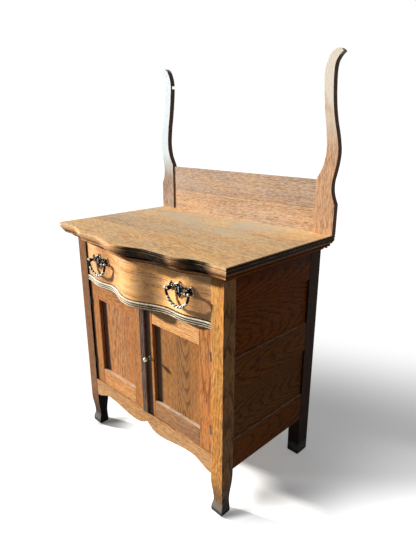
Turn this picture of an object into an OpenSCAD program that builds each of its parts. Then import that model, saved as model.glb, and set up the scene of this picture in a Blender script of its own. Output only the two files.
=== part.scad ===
// Oak washstand with a serpentine drawer over a two-door cupboard, a splashback and two towel-bar uprights.
// Millimetres. X runs across the front to the viewer's right, the front faces -Y and Z is up from the floor.

/* [Case] */
// Height of the top surface above the floor
top_z = 750; // [720:5:790]
// Width of the case across the outside of its posts
case_w = 654; // [630:2:700]
// Depth of the case from the front of its posts to its back
case_d = 420; // [390:5:460]
// Width of every post, seen from the front
post_w = 42; // [38:1:46]
// Depth of the front posts, seen from the side
front_post_d = 44; // [40:1:50]
// Depth of the back posts, seen from the side
back_post_d = 50; // [44:1:56]

/* [Serpentine front] */
// How far the middle of the drawer bows out beyond its ends
bow_crest = 50; // [40:1:54]
// Bow left at the hollow between the middle and the shoulder
bow_hollow = 13; // [10:1:18]
// Bow at the drawer's shoulder
bow_shoulder = 17; // [14:1:24]
// Distance of the drawer's hollow from the centre line
hollow_x = 138; // [110:2:145]
// Distance of the drawer's shoulder from the centre line
shoulder_x = 190; // [170:1:200]
// How far the middle of the top bows out beyond its ends
top_crest = 52; // [46:1:58]
// Bow left at the top's hollow
top_hollow = 26; // [20:1:30]
// Bow at the top's shoulder
top_shoulder = 25; // [20:1:30]
// Distance of the top's hollow from the centre line
top_hollow_x = 124; // [110:2:140]
// Distance of the top's shoulder from the centre line
top_shoulder_x = 196; // [180:1:205]
// Stations along one serpentine edge
bow_steps = 60; // [48:4:72]

/* [Top] */
// Thickness of the top board
board_t = 20; // [18:1:22]
// Height of the moulding under the board's edge
mould_h = 27; // [26:1:30]
// Overhang of the board beyond the sides of the case
over_side = 42; // [36:1:46]
// Overhang of the board beyond the front of the posts
over_front = 39; // [36:1:44]
// Radius of the nose along the board's upper edge
nose_r = 5; // [4:0.5:6]
// Depth of the quirk under the nose, below the top surface
quirk_down = 8; // [7.5:0.5:9]
// Distance of the quirk's bottom behind the board's edge
quirk_in = 3.5; // [2:0.5:5]
// Distance of the quarter round behind the edge, at the board's underside
ovolo_in = 5; // [4:0.5:6]
// Width of the moulded frame under the board
frame_w = 104; // [98:1:112]
// Distance of the bead's face behind the board's edge
bead_in = 12.5; // [11:0.5:15]
// Radius of the bead under the quarter round
bead_r = 2.5; // [2:0.25:3]
// Height of the bead's middle above the case
bead_up = 15.5; // [14:0.5:16]
// Distance of the cove's foot behind the board's edge
cove_in = 34; // [30:1:36]

/* [Drawer] */
// Drop from the top's surface to the reeded rail's underside
rail_drop = 188; // [180:1:205]
// Height of the reeded rail
rail_h = 21; // [18:1:24]
// Beads along the reeded rail
reeds = 3; // [2:1:4]
// Depth of the quirks between the beads
reed_depth = 3.2; // [1.5:0.1:3.2]
// Setback of the drawer's face behind the posts
drawer_set = 4; // [2:0.5:6]
// Thickness of the drawer's front
drawer_front_t = 20; // [18:1:24]
// Gap round the drawer's front
drawer_gap = 1.5; // [1:0.1:2.5]
// Length of the drawer box behind its face
drawer_len = 352; // [300:2:352]
// Thickness of the drawer's sides and back
drawer_side_t = 12; // [10:0.5:14]
// Running clearance under the drawer's sides
run_gap = 0.3; // [0.2:0.1:1]
// Dovetails at each front corner of the drawer
tails = 4; // [3:1:5]
// Length of the dovetails
tail_len = 12; // [10:0.5:13]
// Thickness of the drawer's bottom
drawer_bottom_t = 5.6; // [4.5:0.1:6]
// Height of the bottom's groove above the sides' lower edge
bottom_up = 9; // [8:0.5:12]
// Depth of the grooves that hold the bottom
bottom_groove = 6; // [5:0.5:7]

/* [Doors] */
// Height of the doors' lower edge above the floor
door_z = 192; // [185:1:205]
// Thickness of the doors
door_t = 22; // [20:1:24]
// Setback of the doors' faces behind the posts
door_set = 5; // [4:0.5:6]
// Gap between the doors and the case, and between the two doors
door_gap = 1.8; // [1.5:0.1:2.2]
// Width of the hinge stiles
hinge_stile_w = 46; // [42:1:50]
// Width of the left door's meeting stile
left_meeting_w = 45; // [42:1:50]
// Width of the right door's meeting stile, under the reeded strip
right_meeting_w = 53; // [50:1:58]
// Height of the doors' top rails
door_top_h = 56; // [50:1:62]
// Height of the doors' bottom rails
door_bottom_h = 55; // [50:1:62]
// Recess of the panels behind the doors' faces
panel_in = 11; // [9:0.5:12]
// Thickness of the doors' panels
panel_t = 7; // [6:0.5:7.5]
// Width of the reeded strip beside the meeting line
strip_w = 25; // [22:1:28]
// Thickness of the reeded strip
strip_t = 9; // [7:0.5:11]

/* [Hinges] */
// Height of each butt hinge
hinge_h = 26; // [22:1:32]
// Height of the upper hinges' middles above the floor
upper_hinge_z = 489; // [470:1:500]
// Height of the lower hinges' middles above the floor
lower_hinge_z = 269; // [255:1:290]
// Radius of the hinge knuckles
knuckle_r = 2.5; // [2.2:0.1:2.7]
// Radius of the hinge pins
hinge_pin_r = 1.3; // [1:0.1:1.5]
// Thickness of the hinge leaves
leaf_t = 1.2; // [1:0.1:1.4]
// Depth of the hinge leaves along the door's edge
leaf_d = 16; // [12:1:18]

/* [Fittings] */
// Distance of each drawer pull from the centre line
pull_x = 186; // [176:1:196]
// Height of the pull's pivot above the drawer front's lower edge
pull_up = 64; // [60:1:68]
// Distance of each pull post from the pull's middle
pull_post_x = 34; // [33:0.5:35]
// Reach of the pull posts' centres from the drawer's face
pull_reach = 11; // [10.5:0.5:14]
// Radius of the balls on the pull posts
pull_ball_r = 4.8; // [4.5:0.1:5.2]
// Radius of the bail's centre line
bail_r = 43.5; // [43.5:0.5:46]
// Radius of the bail's rod
bail_rod_r = 3.4; // [2.5:0.1:3.4]
// Radius of the bail's pins
bail_pin_r = 2; // [1.6:0.1:2.4]
// Thickness of the pull's back plate
plate_t = 2.4; // [1.8:0.1:3]
// Height of the pull posts above the back plate's middle
post_up = 3; // [1:0.5:4]
// Distance of the door knob from the centre line
knob_x = 25; // [22:0.5:29]
// Height of the door knob above the floor
knob_z = 388; // [360:1:410]
// Reach of the door knob from the door's face
knob_reach = 25; // [20:1:30]
// Radius of the knob's head
knob_r = 7.5; // [6:0.5:9]
// Radius of the knob's spindle
spindle_r = 3; // [2.5:0.1:3.5]
// Length of the cam behind the door, from the spindle
cam_len = 62; // [56:1:70]
// Travel of the left door's bolt
bolt_travel = 10; // [8:0.5:11]
// Radius of the bolt
bolt_r = 3; // [2.5:0.1:3.5]
// Distance of the bolt left of the left door's meeting edge
bolt_in = 20; // [14:1:28]

/* [Sides and back] */
// Thickness of the side rails
side_rail_t = 22; // [20:1:24]
// Setback of the side rails behind the posts' outer faces
side_rail_set = 1; // [0.5:0.5:3]
// Height of the side bottom rails' lower edges above the floor
low_rail_z = 140; // [130:1:150]
// Height of the side bottom rails
low_rail_h = 93; // [85:1:100]
// Height of the side middle rails' lower edges above the floor
mid_rail_z = 388; // [375:1:400]
// Height of the side middle rails
mid_rail_h = 92; // [80:1:100]
// Height of the side top rails
top_rail_h = 84; // [75:1:92]
// Recess of the side panels behind the rails
side_panel_in = 6; // [5:0.5:7]
// Thickness of the side panels
side_panel_t = 8; // [7:0.5:9]
// Depth of every panel groove
groove_d = 8; // [7:0.5:9]
// Play of a panel's edge in its groove
panel_play = 1; // [0.5:0.1:1.5]
// Length of the rail tenons
tenon_l = 20; // [16:1:21]
// Thickness of the rail tenons
tenon_t = 8; // [7:0.5:9]
// Thickness of the back boards
back_t = 7; // [6:0.5:7.5]
// Back boards, one above the other
back_boards_n = 4; // [3:1:5]
// Thickness of the back rails
back_rail_t = 20; // [18:1:21]
// Height of the back top rail
back_top_h = 70; // [60:1:80]
// Thickness of the cupboard floor
floor_t = 14; // [12:1:16]
// Height of the cupboard floor's upper face above the apron
floor_up = 10; // [9:1:11]

/* [Apron and feet] */
// Thickness of the apron
apron_t = 20; // [18:1:22]
// Height of the apron at its lobes
apron_h = 56; // [50:1:62]
// Rise of the cusp in the middle of the apron
cusp_up = 21; // [15:1:26]
// Rise of the apron's edge over the outer arches
arch_up = 16; // [10:1:22]
// Drop of the apron's ends below the lobes
apron_end_drop = 6; // [2:1:10]
// Distance of the lobes from the centre line
lobe_x = 62; // [50:1:72]
// Distance of the arches' tops from the centre line
arch_x = 205; // [190:1:220]
// Height at which the front feet start to curve at the back
foot_z = 136; // [120:1:138]
// Height at which the front feet start to curve at the front
instep_z = 112; // [100:1:120]
// Height of the ankle
ankle_z = 40; // [30:1:45]
// Height of the toe
toe_z = 14; // [10:1:18]
// Inset of the ankle from the front of the post
ankle_front = 7; // [5:0.5:11]
// Inset of the ankle from the sides of the post
ankle_side = 4; // [2:0.5:6]
// Inset of the ankle from the back of the post
ankle_back = 9; // [6:0.5:12]
// Inset of the toe from the front of the post
toe_front = 0.5; // [0:0.5:4]
// Inset of the toe from the sides of the post
toe_side = 0.5; // [0:0.5:2]
// Inset of the toe from the back of the post
toe_back = 9.5; // [4:0.5:11]
// Height of the rounding under the feet
sole_h = 8; // [4:0.5:9]
// Width of the rounding under the feet
sole_in = 3.5; // [2:0.5:5]

/* [Splashback and uprights] */
// Height of the splashback
splash_h = 152; // [130:1:170]
// Thickness of the splashback
splash_t = 15; // [12:0.5:17]
// Thickness of the uprights
upright_t = 19; // [18:0.5:22]
// Height of the uprights above the top
upright_h = 485; // [440:5:520]
// Width of the uprights' bases
upright_w = 62; // [58:1:66]
// Height of the towel-bar sockets above the top
socket_up = 419; // [405:1:430]
// Height of each towel-bar socket
socket_h = 10; // [8:0.5:12]
// Depth of each towel-bar socket from the upright's back
socket_d = 12; // [9:0.5:13]
// Length of each towel-bar socket from the upright's inner edge
socket_l = 15; // [12:0.5:17]

/* [Inner pieces] */
// Length of the drawer stops
drawer_stop_l = 28; // [20:1:36]
// Height of the drawer stops
drawer_stop_h = 7; // [5:0.5:9]
// Distance of the door stops from the centre line
door_stop_x = 130; // [100:1:150]
// Length of the door stops
door_stop_l = 40; // [30:1:60]
// Height of the door stops
door_stop_h = 12; // [8:1:16]
// Width of the cleat under the back of the top
cleat_w = 60; // [40:1:80]
// Thickness of the glue blocks
glue_t = 18; // [14:1:22]
// Length of the glue blocks
glue_l = 60; // [40:1:80]
// Distance of the top's glue blocks from the posts
glue_end = 30; // [20:1:60]
// Distance of the apron's glue blocks from the centre line
glue_x = 110; // [90:1:180]
// Radius of the wood screws
screw_r = 2.2; // [1.8:0.1:2.6]
// Radius of the wood screws' heads
screw_head_r = 4.5; // [4:0.1:5.5]
// Height of the wood screws' heads
screw_head_h = 3; // [2:0.5:4]
// Length of the screws into the uprights
upright_screw_l = 70; // [60:1:90]
// Distance of the outer screw from the upright's edge
screw_edge = 20; // [14:1:24]
// Distance between an upright's two screws
screw_apart = 16; // [12:1:20]
// Depth of the uprights' screw heads above the case's top
screw_sink = 8; // [4:1:10]
// Length of the screws into the splashback
splash_screw_l = 78; // [70:1:90]
// Distance of the splashback's screws from the centre line
splash_screw_x = 200; // [150:1:260]

/* [Hidden] */
$fn = 32;
cut = 1;
oak = [0.66, 0.46, 0.27];
oak_dark = [0.5, 0.33, 0.19];
oak_pale = [0.74, 0.57, 0.4];
pine = [0.8, 0.67, 0.48];
iron = [0.24, 0.22, 0.2];
steel = [0.55, 0.54, 0.52];

half_top = case_w / 2 + over_side;
half_case = case_w / 2;
half_open = half_case - post_w;
back_y = (case_d + over_front + top_crest) / 2;
front_y = back_y - case_d;
top_front_y = front_y - over_front;
board_z = top_z - board_t;
case_z = board_z - mould_h;
arc_steps = 6;

// Serpentine
bow_end_x = half_open;
bow_x = [0, hollow_x, shoulder_x, bow_end_x];
bow_f = [bow_crest, bow_hollow, bow_shoulder, 0];
top_x = [0, top_hollow_x, top_shoulder_x, bow_end_x];
top_f = [top_crest, top_hollow, top_shoulder, 0];
function ease(t) = (1 - cos(180 * t)) / 2;
function blend(a, b, t) = a + (b - a) * ease(t);
function span(a, x, f, i) = blend(f[i], f[i + 1], (a - x[i]) / (x[i + 1] - x[i]));
function curve(a, x, f) = a >= x[3] ? 0
    : a >= x[2] ? span(a, x, f, 2)
    : a >= x[1] ? span(a, x, f, 1)
    : span(a, x, f, 0);
function bow(x) = curve(abs(x), bow_x, bow_f);
function top_bow(x) = curve(abs(x), top_x, top_f);
// Stations from -w to w, and the serpentine edge set back by d from a straight line at y
function even(w) = [for (i = [0:bow_steps]) -w + 2 * w * i / bow_steps];
function stations(w) = w > bow_end_x ? concat([-w], even(bow_end_x), [w]) : even(w);
function edge(w, y, d = 0) = [for (x = stations(w)) [x, y + d - bow(x)]];
function top_edge(w, y) = [for (x = stations(w)) [x, y - top_bow(x)]];
function reversed(list) = [for (i = [len(list) - 1:-1:0]) list[i]];

// Drawer
rail_z = top_z - rail_drop;
rail_top = rail_z + rail_h;
rail_d = front_post_d;
lip_t = 9;
glue_line = 0.05;
face_y = front_y + drawer_set;
drawer_hw = half_open - drawer_gap;
drawer_z = rail_top + drawer_gap;
drawer_top = case_z - drawer_gap;
side_z = rail_top + run_gap;
side_in = drawer_hw - drawer_side_t;
drawer_end = face_y + drawer_len;
drawer_back_y = drawer_end - 8;
bottom_z = side_z + bottom_up;
bottom_groove_h = drawer_bottom_t + 0.4;
back_dado = 5;

// Doors
door_y = front_y + door_set;
door_back = door_y + door_t;
door_top = rail_z - door_gap - 0.5;
door_h = door_top - door_z;
meet_x = -strip_w / 2;
left_door = [-half_open + door_gap, meet_x - door_gap / 2];
right_door = [meet_x + door_gap / 2, half_open - door_gap];
door_groove_y = door_y + panel_in;
door_panel_z = [door_z + door_bottom_h, door_top - door_top_h];
pin_x = half_open - door_gap / 2;
pin_y = door_y - 3.5;
knuckle_gap = 0.3;
knuckle_clear = 0.4;
pin_clear = 0.05;

// Sides and back
rail_out = half_case - side_rail_set;
rail_in = rail_out - side_rail_t;
panel_out = rail_out - side_panel_in;
side_y = [front_y + front_post_d, back_y - back_post_d];
top_rail_z = case_z - top_rail_h;
upper_panel_z = [mid_rail_z + mid_rail_h, top_rail_z];
lower_panel_z = [low_rail_z + low_rail_h, mid_rail_z];
tenon_shoulder = 8;
back_rail_y = back_y - back_t - 1 - back_rail_t;
rabbet = 10;
apron_z = door_z - 2;
floor_z = apron_z + floor_up;
floor_y = door_back + 0.5;
runner_w = 42;
runner_h = 18;
guide_w = 19;
guide_h = 20;

// Pulls and knob
pull_z = drawer_z + pull_up;
pull_y = face_y - bow(pull_x);
pivot_y = pull_y - pull_reach;
knob_y = door_y;
cam_y = door_back + 0.5;
cam_t = 3;
bolt_x = left_door[1] - bolt_in;
bolt_y = door_back + bolt_r + 2.5;
bolt_l = 66;

// Uprights: distance in from the outer face and share of the height
upright_x = half_top;
outer_knots = [
    [0, 0.181], [9, 0.225], [13, 0.264], [13, 0.309], [8, 0.359], [3, 0.421], [2, 0.485], [9, 0.563],
    [19, 0.641], [26, 0.718], [30, 0.794], [32, 0.88], [29.5, 0.932], [21, 0.963], [10, 0.984]
];
inner_knots = [
    [10, 0.984], [18, 0.998], [30, 1], [44, 0.981], [54, 0.944], [60, 0.897], [60, 0.847], [55, 0.746],
    [48, 0.652], [42, 0.584], [38, 0.482], [44, 0.4], [57, 0.342], [61.5, 0.318], [62, 0.202]
];
knot_steps = 4;

// Shared shapes

// A box between two opposite corners
module block(lo, hi) {
    translate(lo) cube(hi - lo);
}

// Children on the right for s = 1, and mirrored to the left for s = -1
module side(s) {
    if (s < 0) mirror([1, 0, 0]) children();
    else children();
}

// A profile drawn in X and Z, carried along Y from y0 to y1
module along_y(y0, y1) {
    translate([0, y1, 0]) rotate([90, 0, 0]) linear_extrude(y1 - y0) children();
}

// A profile drawn in Y and Z, carried along X from x0 to x1
module along_x(x0, x1) {
    translate([x0, 0, 0]) rotate([90, 0, 90]) linear_extrude(x1 - x0) children();
}

// A cylinder along Y from y0 to y1 through x and z
module rod_y(x, z, y0, y1, r) {
    translate([x, y0, z]) rotate([-90, 0, 0]) cylinder(h = y1 - y0, r = r);
}

// Joins rings of equally many points into one closed solid
// Its two ends fan out from point 1 when fan is true
module loft(rings, fan = false) {
    n = len(rings[0]);
    last = len(rings) - 1;
    points = [for (r = rings) for (p = r) p];
    sides = [for (i = [0:last - 1]) for (j = [0:n - 1])
        let (a = i * n + j, b = i * n + (j + 1) % n, c = a + n, d = b + n)
        each [[a, b, d], [a, d, c]]];
    whole = [reversed([for (j = [0:n - 1]) j]), [for (j = [0:n - 1]) last * n + j]];
    top = last * n;
    fans = [for (j = [2:n - 1]) let (k = (j + 1) % n) each [[1, k, j], [top + 1, top + j, top + k]]];
    caps = fan ? fans : whole;
    polyhedron(points = points, faces = concat(sides, caps), convexity = 6);
}

// Points of a quarter arc of radius r about c, from angle a to angle b
function arc(c, r, a, b) = [for (i = [0:arc_steps])
    let (t = a + (b - a) * i / arc_steps) c + r * [cos(t), sin(t)]];

// A smooth curve through knots, with n points to each stretch
function knot(k, i) = k[max(0, min(len(k) - 1, i))];
function smooth(k, n = knot_steps) = [for (i = [0:len(k) - 2]) for (j = [0:n - 1])
    let (t = j / n, p0 = knot(k, i - 1), p1 = k[i], p2 = k[i + 1], p3 = knot(k, i + 2))
    0.5 * (2 * p1 + (p2 - p0) * t + (2 * p0 - 5 * p1 + 4 * p2 - p3) * t * t
        + (3 * p1 - p0 - 3 * p2 + p3) * t * t * t)];

// Posts

// Rounding under a foot at height z
function sole(z) = z >= sole_h ? 0 : sole_in * (1 - sqrt(1 - pow((sole_h - z) / sole_h, 2)));
// Inset of a curved foot at height z, curving below the height start to its ankle and its toe
function foot_in(z, start, ankle, toe) =
    sole(z) + (z >= start ? 0
        : z >= ankle_z ? blend(ankle, 0, (z - ankle_z) / (start - ankle_z))
        : z >= toe_z ? blend(toe, ankle, (z - toe_z) / (ankle_z - toe_z))
        : toe);
sole_levels = [for (i = [0:arc_steps]) sole_h * (1 - cos(90 * i / arc_steps))];
foot_levels = [for (i = [1:8]) toe_z + (ankle_z - toe_z) * i / 8];
leg_levels = [for (i = [1:14]) ankle_z + (instep_z - ankle_z) * i / 14];
front_levels = concat(sole_levels, [toe_z], foot_levels, leg_levels, [(instep_z + foot_z) / 2, foot_z, case_z]);
back_levels = concat(sole_levels, [case_z]);

module front_profile(levels, ankle, toe) {
    polygon(concat(
        [for (z = levels) [half_case - foot_in(z, instep_z, ankle, toe), z]],
        reversed([for (z = levels) [half_open + foot_in(z, instep_z, ankle, toe), z]])));
}

// The insets at the front and at the back are each [ankle, toe]
module side_profile(levels, y0, y1, front, back) {
    polygon(concat(
        [for (z = levels) [y1 - foot_in(z, foot_z, back[0], back[1]), z]],
        reversed([for (z = levels) [y0 + foot_in(z, instep_z, front[0], front[1]), z]])));
}

module panel_slot(y0, y1, z0, z1) {
    block([panel_out - side_panel_t, y0, z0], [panel_out, y1, z1]);
}

module rail_mortise(y0, y1, z, h) {
    mid = (rail_in + rail_out) / 2;
    block([mid - tenon_t / 2, y0, z + tenon_shoulder], [mid + tenon_t / 2, y1, z + h - tenon_shoulder]);
}

module side_mortises(y0, y1) {
    rail_mortise(y0, y1, low_rail_z, low_rail_h);
    rail_mortise(y0, y1, mid_rail_z, mid_rail_h);
    rail_mortise(y0, y1, top_rail_z, top_rail_h);
}

// Everything cut in a post for one hinge's leaf and knuckles
module hinge_mortise(z) {
    block([half_open - cut, pin_y, z - hinge_h / 2], [half_open + leaf_t, door_y + leaf_d, z + hinge_h / 2]);
    translate([pin_x, pin_y, z - hinge_h / 2]) cylinder(h = hinge_h, r = knuckle_r + knuckle_clear);
}

module front_post(s) {
    y1 = front_y + front_post_d;
    color(oak) side(s) difference() {
        intersection() {
            along_y(front_y, y1) front_profile(front_levels, ankle_side, toe_side);
            along_x(half_open - cut, half_case + cut) side_profile(front_levels, front_y, y1,
                [ankle_front, toe_front], [ankle_back, toe_back]);
        }
        side_mortises(y1 - tenon_l, y1 + cut);
        panel_slot(y1 - groove_d, y1 + cut, lower_panel_z[0] - groove_d, upper_panel_z[1] + groove_d);
        apron_tenon(cut);
        rail_tenon(cut);
        hinge_mortise(upper_hinge_z);
        hinge_mortise(lower_hinge_z);
    }
}

module back_post(s) {
    y0 = back_y - back_post_d;
    color(oak_dark) side(s) difference() {
        intersection() {
            along_y(y0, back_y) front_profile(back_levels, 0, 0);
            along_x(half_open - cut, half_case + cut)
                side_profile(back_levels, y0, back_y, [0, 0], [0, 0]);
        }
        side_mortises(y0 - cut, y0 + tenon_l);
        panel_slot(y0 - cut, y0 + groove_d, lower_panel_z[0] - groove_d, upper_panel_z[1] + groove_d);
        back_tenon(case_z - back_top_h, case_z, cut);
        back_tenon(low_rail_z, floor_z - floor_t, cut);
        block([half_open - cut, back_y - back_t - 1, low_rail_z],
            [half_open + rabbet, back_y + cut, case_z + cut]);
        runner_tongue(cut);
    }
}

// Sides

module side_rail(s, z, h, above, below) {
    mid = (rail_in + rail_out) / 2;
    y = [side_y[0] - tenon_l - cut, side_y[1] + tenon_l + cut];
    color(oak) side(s) difference() {
        union() {
            block([rail_in, side_y[0], z], [rail_out, side_y[1], z + h]);
            block([mid - tenon_t / 2, side_y[0] - tenon_l, z + tenon_shoulder],
                [mid + tenon_t / 2, side_y[1] + tenon_l, z + h - tenon_shoulder]);
        }
        if (above) panel_slot(y[0], y[1], z + h - groove_d, z + h + cut);
        if (below) panel_slot(y[0], y[1], z - cut, z + groove_d);
    }
}

module side_panel(s, z) {
    e = groove_d - panel_play;
    color(oak) side(s) panel_slot(side_y[0] - e, side_y[1] + e, z[0] - e, z[1] + e);
}

// Back

// Tenons of a back rail, on the right
module back_tenon(z0, z1, extra = 0) {
    mid = back_rail_y + back_rail_t / 2;
    block([half_open - extra, mid - tenon_t / 2, z0 + tenon_shoulder],
        [half_open + tenon_l, mid + tenon_t / 2, z1 - tenon_shoulder]);
}

module back_rail(z0, z1) {
    color(pine) {
        block([-half_open, back_rail_y, z0], [half_open, back_rail_y + back_rail_t, z1]);
        for (s = [-1, 1]) side(s) back_tenon(z0, z1);
    }
}

module back_boards() {
    pitch = (case_z - low_rail_z) / back_boards_n;
    color(pine) for (i = [0:back_boards_n - 1])
        block([-half_open - rabbet + 1, back_y - back_t - 1, low_rail_z + i * pitch + 0.5],
            [half_open + rabbet - 1, back_y - 1, low_rail_z + (i + 1) * pitch - 0.5]);
}

// Rails, apron and floor

// The reeded rail's tenon, on the right
module rail_tenon(extra = 0) {
    block([half_open - extra, front_y + 16, rail_z + 4], [half_open + tenon_l, front_y + 30, rail_top - 4]);
}

// Half-round beads with quirks between them, from the rail's underside up
reed_pitch = (rail_h - 3) / reeds;
reed_half = reed_pitch / 2 - 0.4;
function reed_mid(i) = 1.5 + (i + 0.5) * reed_pitch;
reed_profile = concat(
    [[reed_depth, 0]],
    [for (i = [0:reeds - 1]) each
        [for (a = [-90:36:90]) [reed_depth * (1 - cos(a)), reed_mid(i) + reed_half * sin(a)]]],
    [[reed_depth, rail_h]]);

// A shaped rail with a reeded lipping glued along its front
module reeded_rail() {
    back = front_y + rail_d;
    lip_y = front_y + 0.5;
    rings = [for (x = stations(half_open)) concat(
        [[x, lip_y + lip_t - glue_line - bow(x), rail_top], [x, lip_y + lip_t - glue_line - bow(x), rail_z]],
        [for (p = reed_profile) [x, lip_y + p[0] - bow(x), rail_z + p[1]]])];
    color(oak) {
        loft(rings);
        difference() {
            union() {
                translate([0, 0, rail_z]) linear_extrude(rail_h) polygon(concat(
                    edge(half_open, lip_y, lip_t), [[half_open, back], [-half_open, back]]));
                for (s = [-1, 1]) side(s) rail_tenon(cut);
            }
            translate([bolt_x, bolt_y, rail_z - cut]) cylinder(h = bolt_travel + cut, r = bolt_r + 0.5);
        }
    }
}

// The apron's lower edge at x, above its lobes
function apron_edge(x) = let (a = abs(x))
    a < lobe_x ? cusp_up * pow(1 - a / lobe_x, 2.2)
    : a < arch_x ? blend(0, arch_up, (a - lobe_x) / (arch_x - lobe_x))
    : blend(arch_up, -apron_end_drop, min(1, (a - arch_x) / (half_open - arch_x)));

module apron_tenon(extra = 0) {
    block([half_open - extra, front_y + 7, apron_z - apron_h + 12],
        [half_open + tenon_l, front_y + 7 + tenon_t, apron_z - 6]);
}

module apron() {
    n = 80;
    lobe_z = apron_z - apron_h;
    low = [for (i = [0:n]) let (x = -half_open + 2 * half_open * i / n) [x, lobe_z + apron_edge(x)]];
    color(oak) {
        along_y(front_y + 0.5, front_y + 0.5 + apron_t)
            polygon(concat(low, [[half_open, apron_z], [-half_open, apron_z]]));
        for (s = [-1, 1]) side(s) apron_tenon(cut);
    }
}

module cupboard_floor() {
    back = back_y - back_t - 1;
    half = [[half_open, floor_y], [half_open, side_y[0]], [rail_in, side_y[0]], [rail_in, side_y[1]],
        [half_open, side_y[1]], [half_open, back]];
    color(pine) translate([0, 0, floor_z - floor_t]) linear_extrude(floor_t)
        polygon(concat(half, reversed([for (p = half) [-p[0], p[1]]])));
}

// The runner's tongue into the back post
module runner_tongue(extra = 0) {
    block([half_open, side_y[1] - extra, rail_top - runner_h + 4], [rail_in, side_y[1] + 6, rail_top - 4]);
}

module runner(s) {
    color(pine) side(s) {
        block([rail_in - runner_w, side_y[0], rail_top - runner_h], [rail_in, side_y[1], rail_top]);
        block([rail_in - guide_w, side_y[0], rail_top], [rail_in, side_y[1], rail_top + guide_h]);
        runner_tongue();
    }
}

module stops() {
    x1 = side_in - 2;
    drawer_stop_y = face_y + drawer_front_t - bow(x1) + 0.4;
    color(pine) for (s = [-1, 1]) side(s) {
        block([x1 - drawer_stop_l, drawer_stop_y, rail_top], [x1, front_y + rail_d, rail_top + drawer_stop_h]);
        block([door_stop_x, door_back + 0.5, rail_z - door_stop_h],
            [door_stop_x + door_stop_l, front_y + rail_d, rail_z]);
    }
}

// Top

// The board's edge as distance in and height, from its underside up
quirk_z = top_z - quirk_down;
nose = concat(
    [[ovolo_in, board_z], [ovolo_in * 0.5, board_z + 2.5], [1.4, board_z + 5], [1, board_z + 8]],
    [[1, quirk_z - 1.3], [quirk_in, quirk_z - 0.7], [quirk_in, quirk_z + 0.7], [0.6, quirk_z + 1.4]],
    arc([nose_r, top_z - nose_r], nose_r, 180, 90));

// One level of the board's outline, d inside its moulded edges
function board_ring(d, z) = concat(
    [[half_top - d, back_y, z], [-half_top + d, back_y, z]],
    [for (p = top_edge(half_top - d, top_front_y + d)) [p[0], p[1], z]]);

module top_board() {
    color(oak_pale) loft([for (p = nose) board_ring(p[0], p[1])], fan = true);
}

// The moulding under the board as distance in from the board's edge and height, from the inside out
// It has a cove, a bead, a quirk and the lower part of the quarter round
bead_top = case_z + bead_up + bead_r;
groove_in = bead_in + 4.5;
cove_h = bead_up - bead_r - 0.5;
ovolo_rx = bead_in + 2 - ovolo_in;
ovolo_rz = board_z + 1 - bead_top - 2;
moulding = concat(
    [[frame_w, board_z], [frame_w, case_z]],
    [for (a = [0:18:90]) [groove_in + (cove_in - groove_in) * cos(a), case_z + cove_h * sin(a)]],
    arc([bead_in + bead_r, case_z + bead_up], bead_r, 270, 90),
    [[groove_in, bead_top + 0.4], [groove_in, bead_top + 1.6]],
    [for (a = [270:-18:198]) [bead_in + 2 + ovolo_rx * cos(a), board_z + 1 + ovolo_rz * sin(a)]],
    [[ovolo_in, board_z]]);

module front_moulding() {
    rings = [for (i = [0:bow_steps]) [for (p = moulding)
        let (w = half_top - p[0], x = -w + 2 * w * i / bow_steps,
            b = p[0] < frame_w ? top_bow(x) : 0)
        [x, top_front_y + p[0] - b, p[1]]]];
    color(oak) loft(rings);
}

module side_moulding(s) {
    color(oak) side(s) difference() {
        along_y(top_front_y, back_y) polygon([for (p = moulding) [half_top - p[0], p[1]]]);
        translate([half_top, top_front_y, 0]) rotate([0, 0, 45])
            translate([-2 * frame_w, -2 * frame_w, case_z - cut])
                cube([2 * frame_w, 4 * frame_w, mould_h + 2 * cut]);
    }
}

module top_back_cleat() {
    w = half_top - frame_w;
    color(pine) block([-w, back_y - cleat_w, case_z], [w, back_y, board_z]);
}

// Splashback and uprights

module splashback() {
    w = upright_x - upright_w;
    color(oak_pale) block([-w, back_y - splash_t, top_z], [w, back_y, top_z + splash_h]);
}

outline_w = 62;
upright_outline = concat([[0, 0]], smooth(outer_knots), smooth(inner_knots),
    [[outline_w, 0.202], [outline_w, 0]]);

module upright(s) {
    grow = upright_w / outline_w;
    color(oak_pale) side(s) difference() {
        along_y(back_y - upright_t, back_y)
            polygon([for (p = upright_outline)
                [upright_x - min(p[0], outline_w) * grow, top_z + p[1] * upright_h]]);
        block([upright_x - 60 * grow - 10, back_y - socket_d, top_z + socket_up],
            [upright_x - 60 * grow + socket_l, back_y + cut, top_z + socket_up + socket_h]);
    }
}

module wood_screw(x, y, z, l) {
    translate([x, y, z]) {
        cylinder(h = l, r = screw_r);
        cylinder(h = screw_head_h, r1 = screw_head_r, r2 = screw_r);
    }
}

module upright_screws() {
    color(steel) for (s = [-1, 1]) side(s) {
        for (x = [upright_x - screw_edge, upright_x - screw_edge - screw_apart])
            wood_screw(x, back_y - upright_t / 2, case_z + screw_sink, upright_screw_l);
        wood_screw(splash_screw_x, back_y - splash_t / 2, case_z, splash_screw_l);
    }
}

module glue_blocks() {
    color(pine) for (s = [-1, 1]) side(s) {
        for (y = [side_y[0] + glue_end, side_y[1] - glue_end - glue_l])
            block([half_open, y, case_z - glue_t], [rail_in, y + glue_l, case_z]);
        block([rail_in - glue_t, side_y[0], floor_z - floor_t - glue_t], [rail_in, side_y[1], floor_z - floor_t]);
        block([glue_x, front_y + 0.5 + apron_t, floor_z - floor_t - glue_t],
            [glue_x + glue_l, front_y + 0.5 + glue_t + apron_t, floor_z - floor_t]);
    }
}

// Hinges

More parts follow.
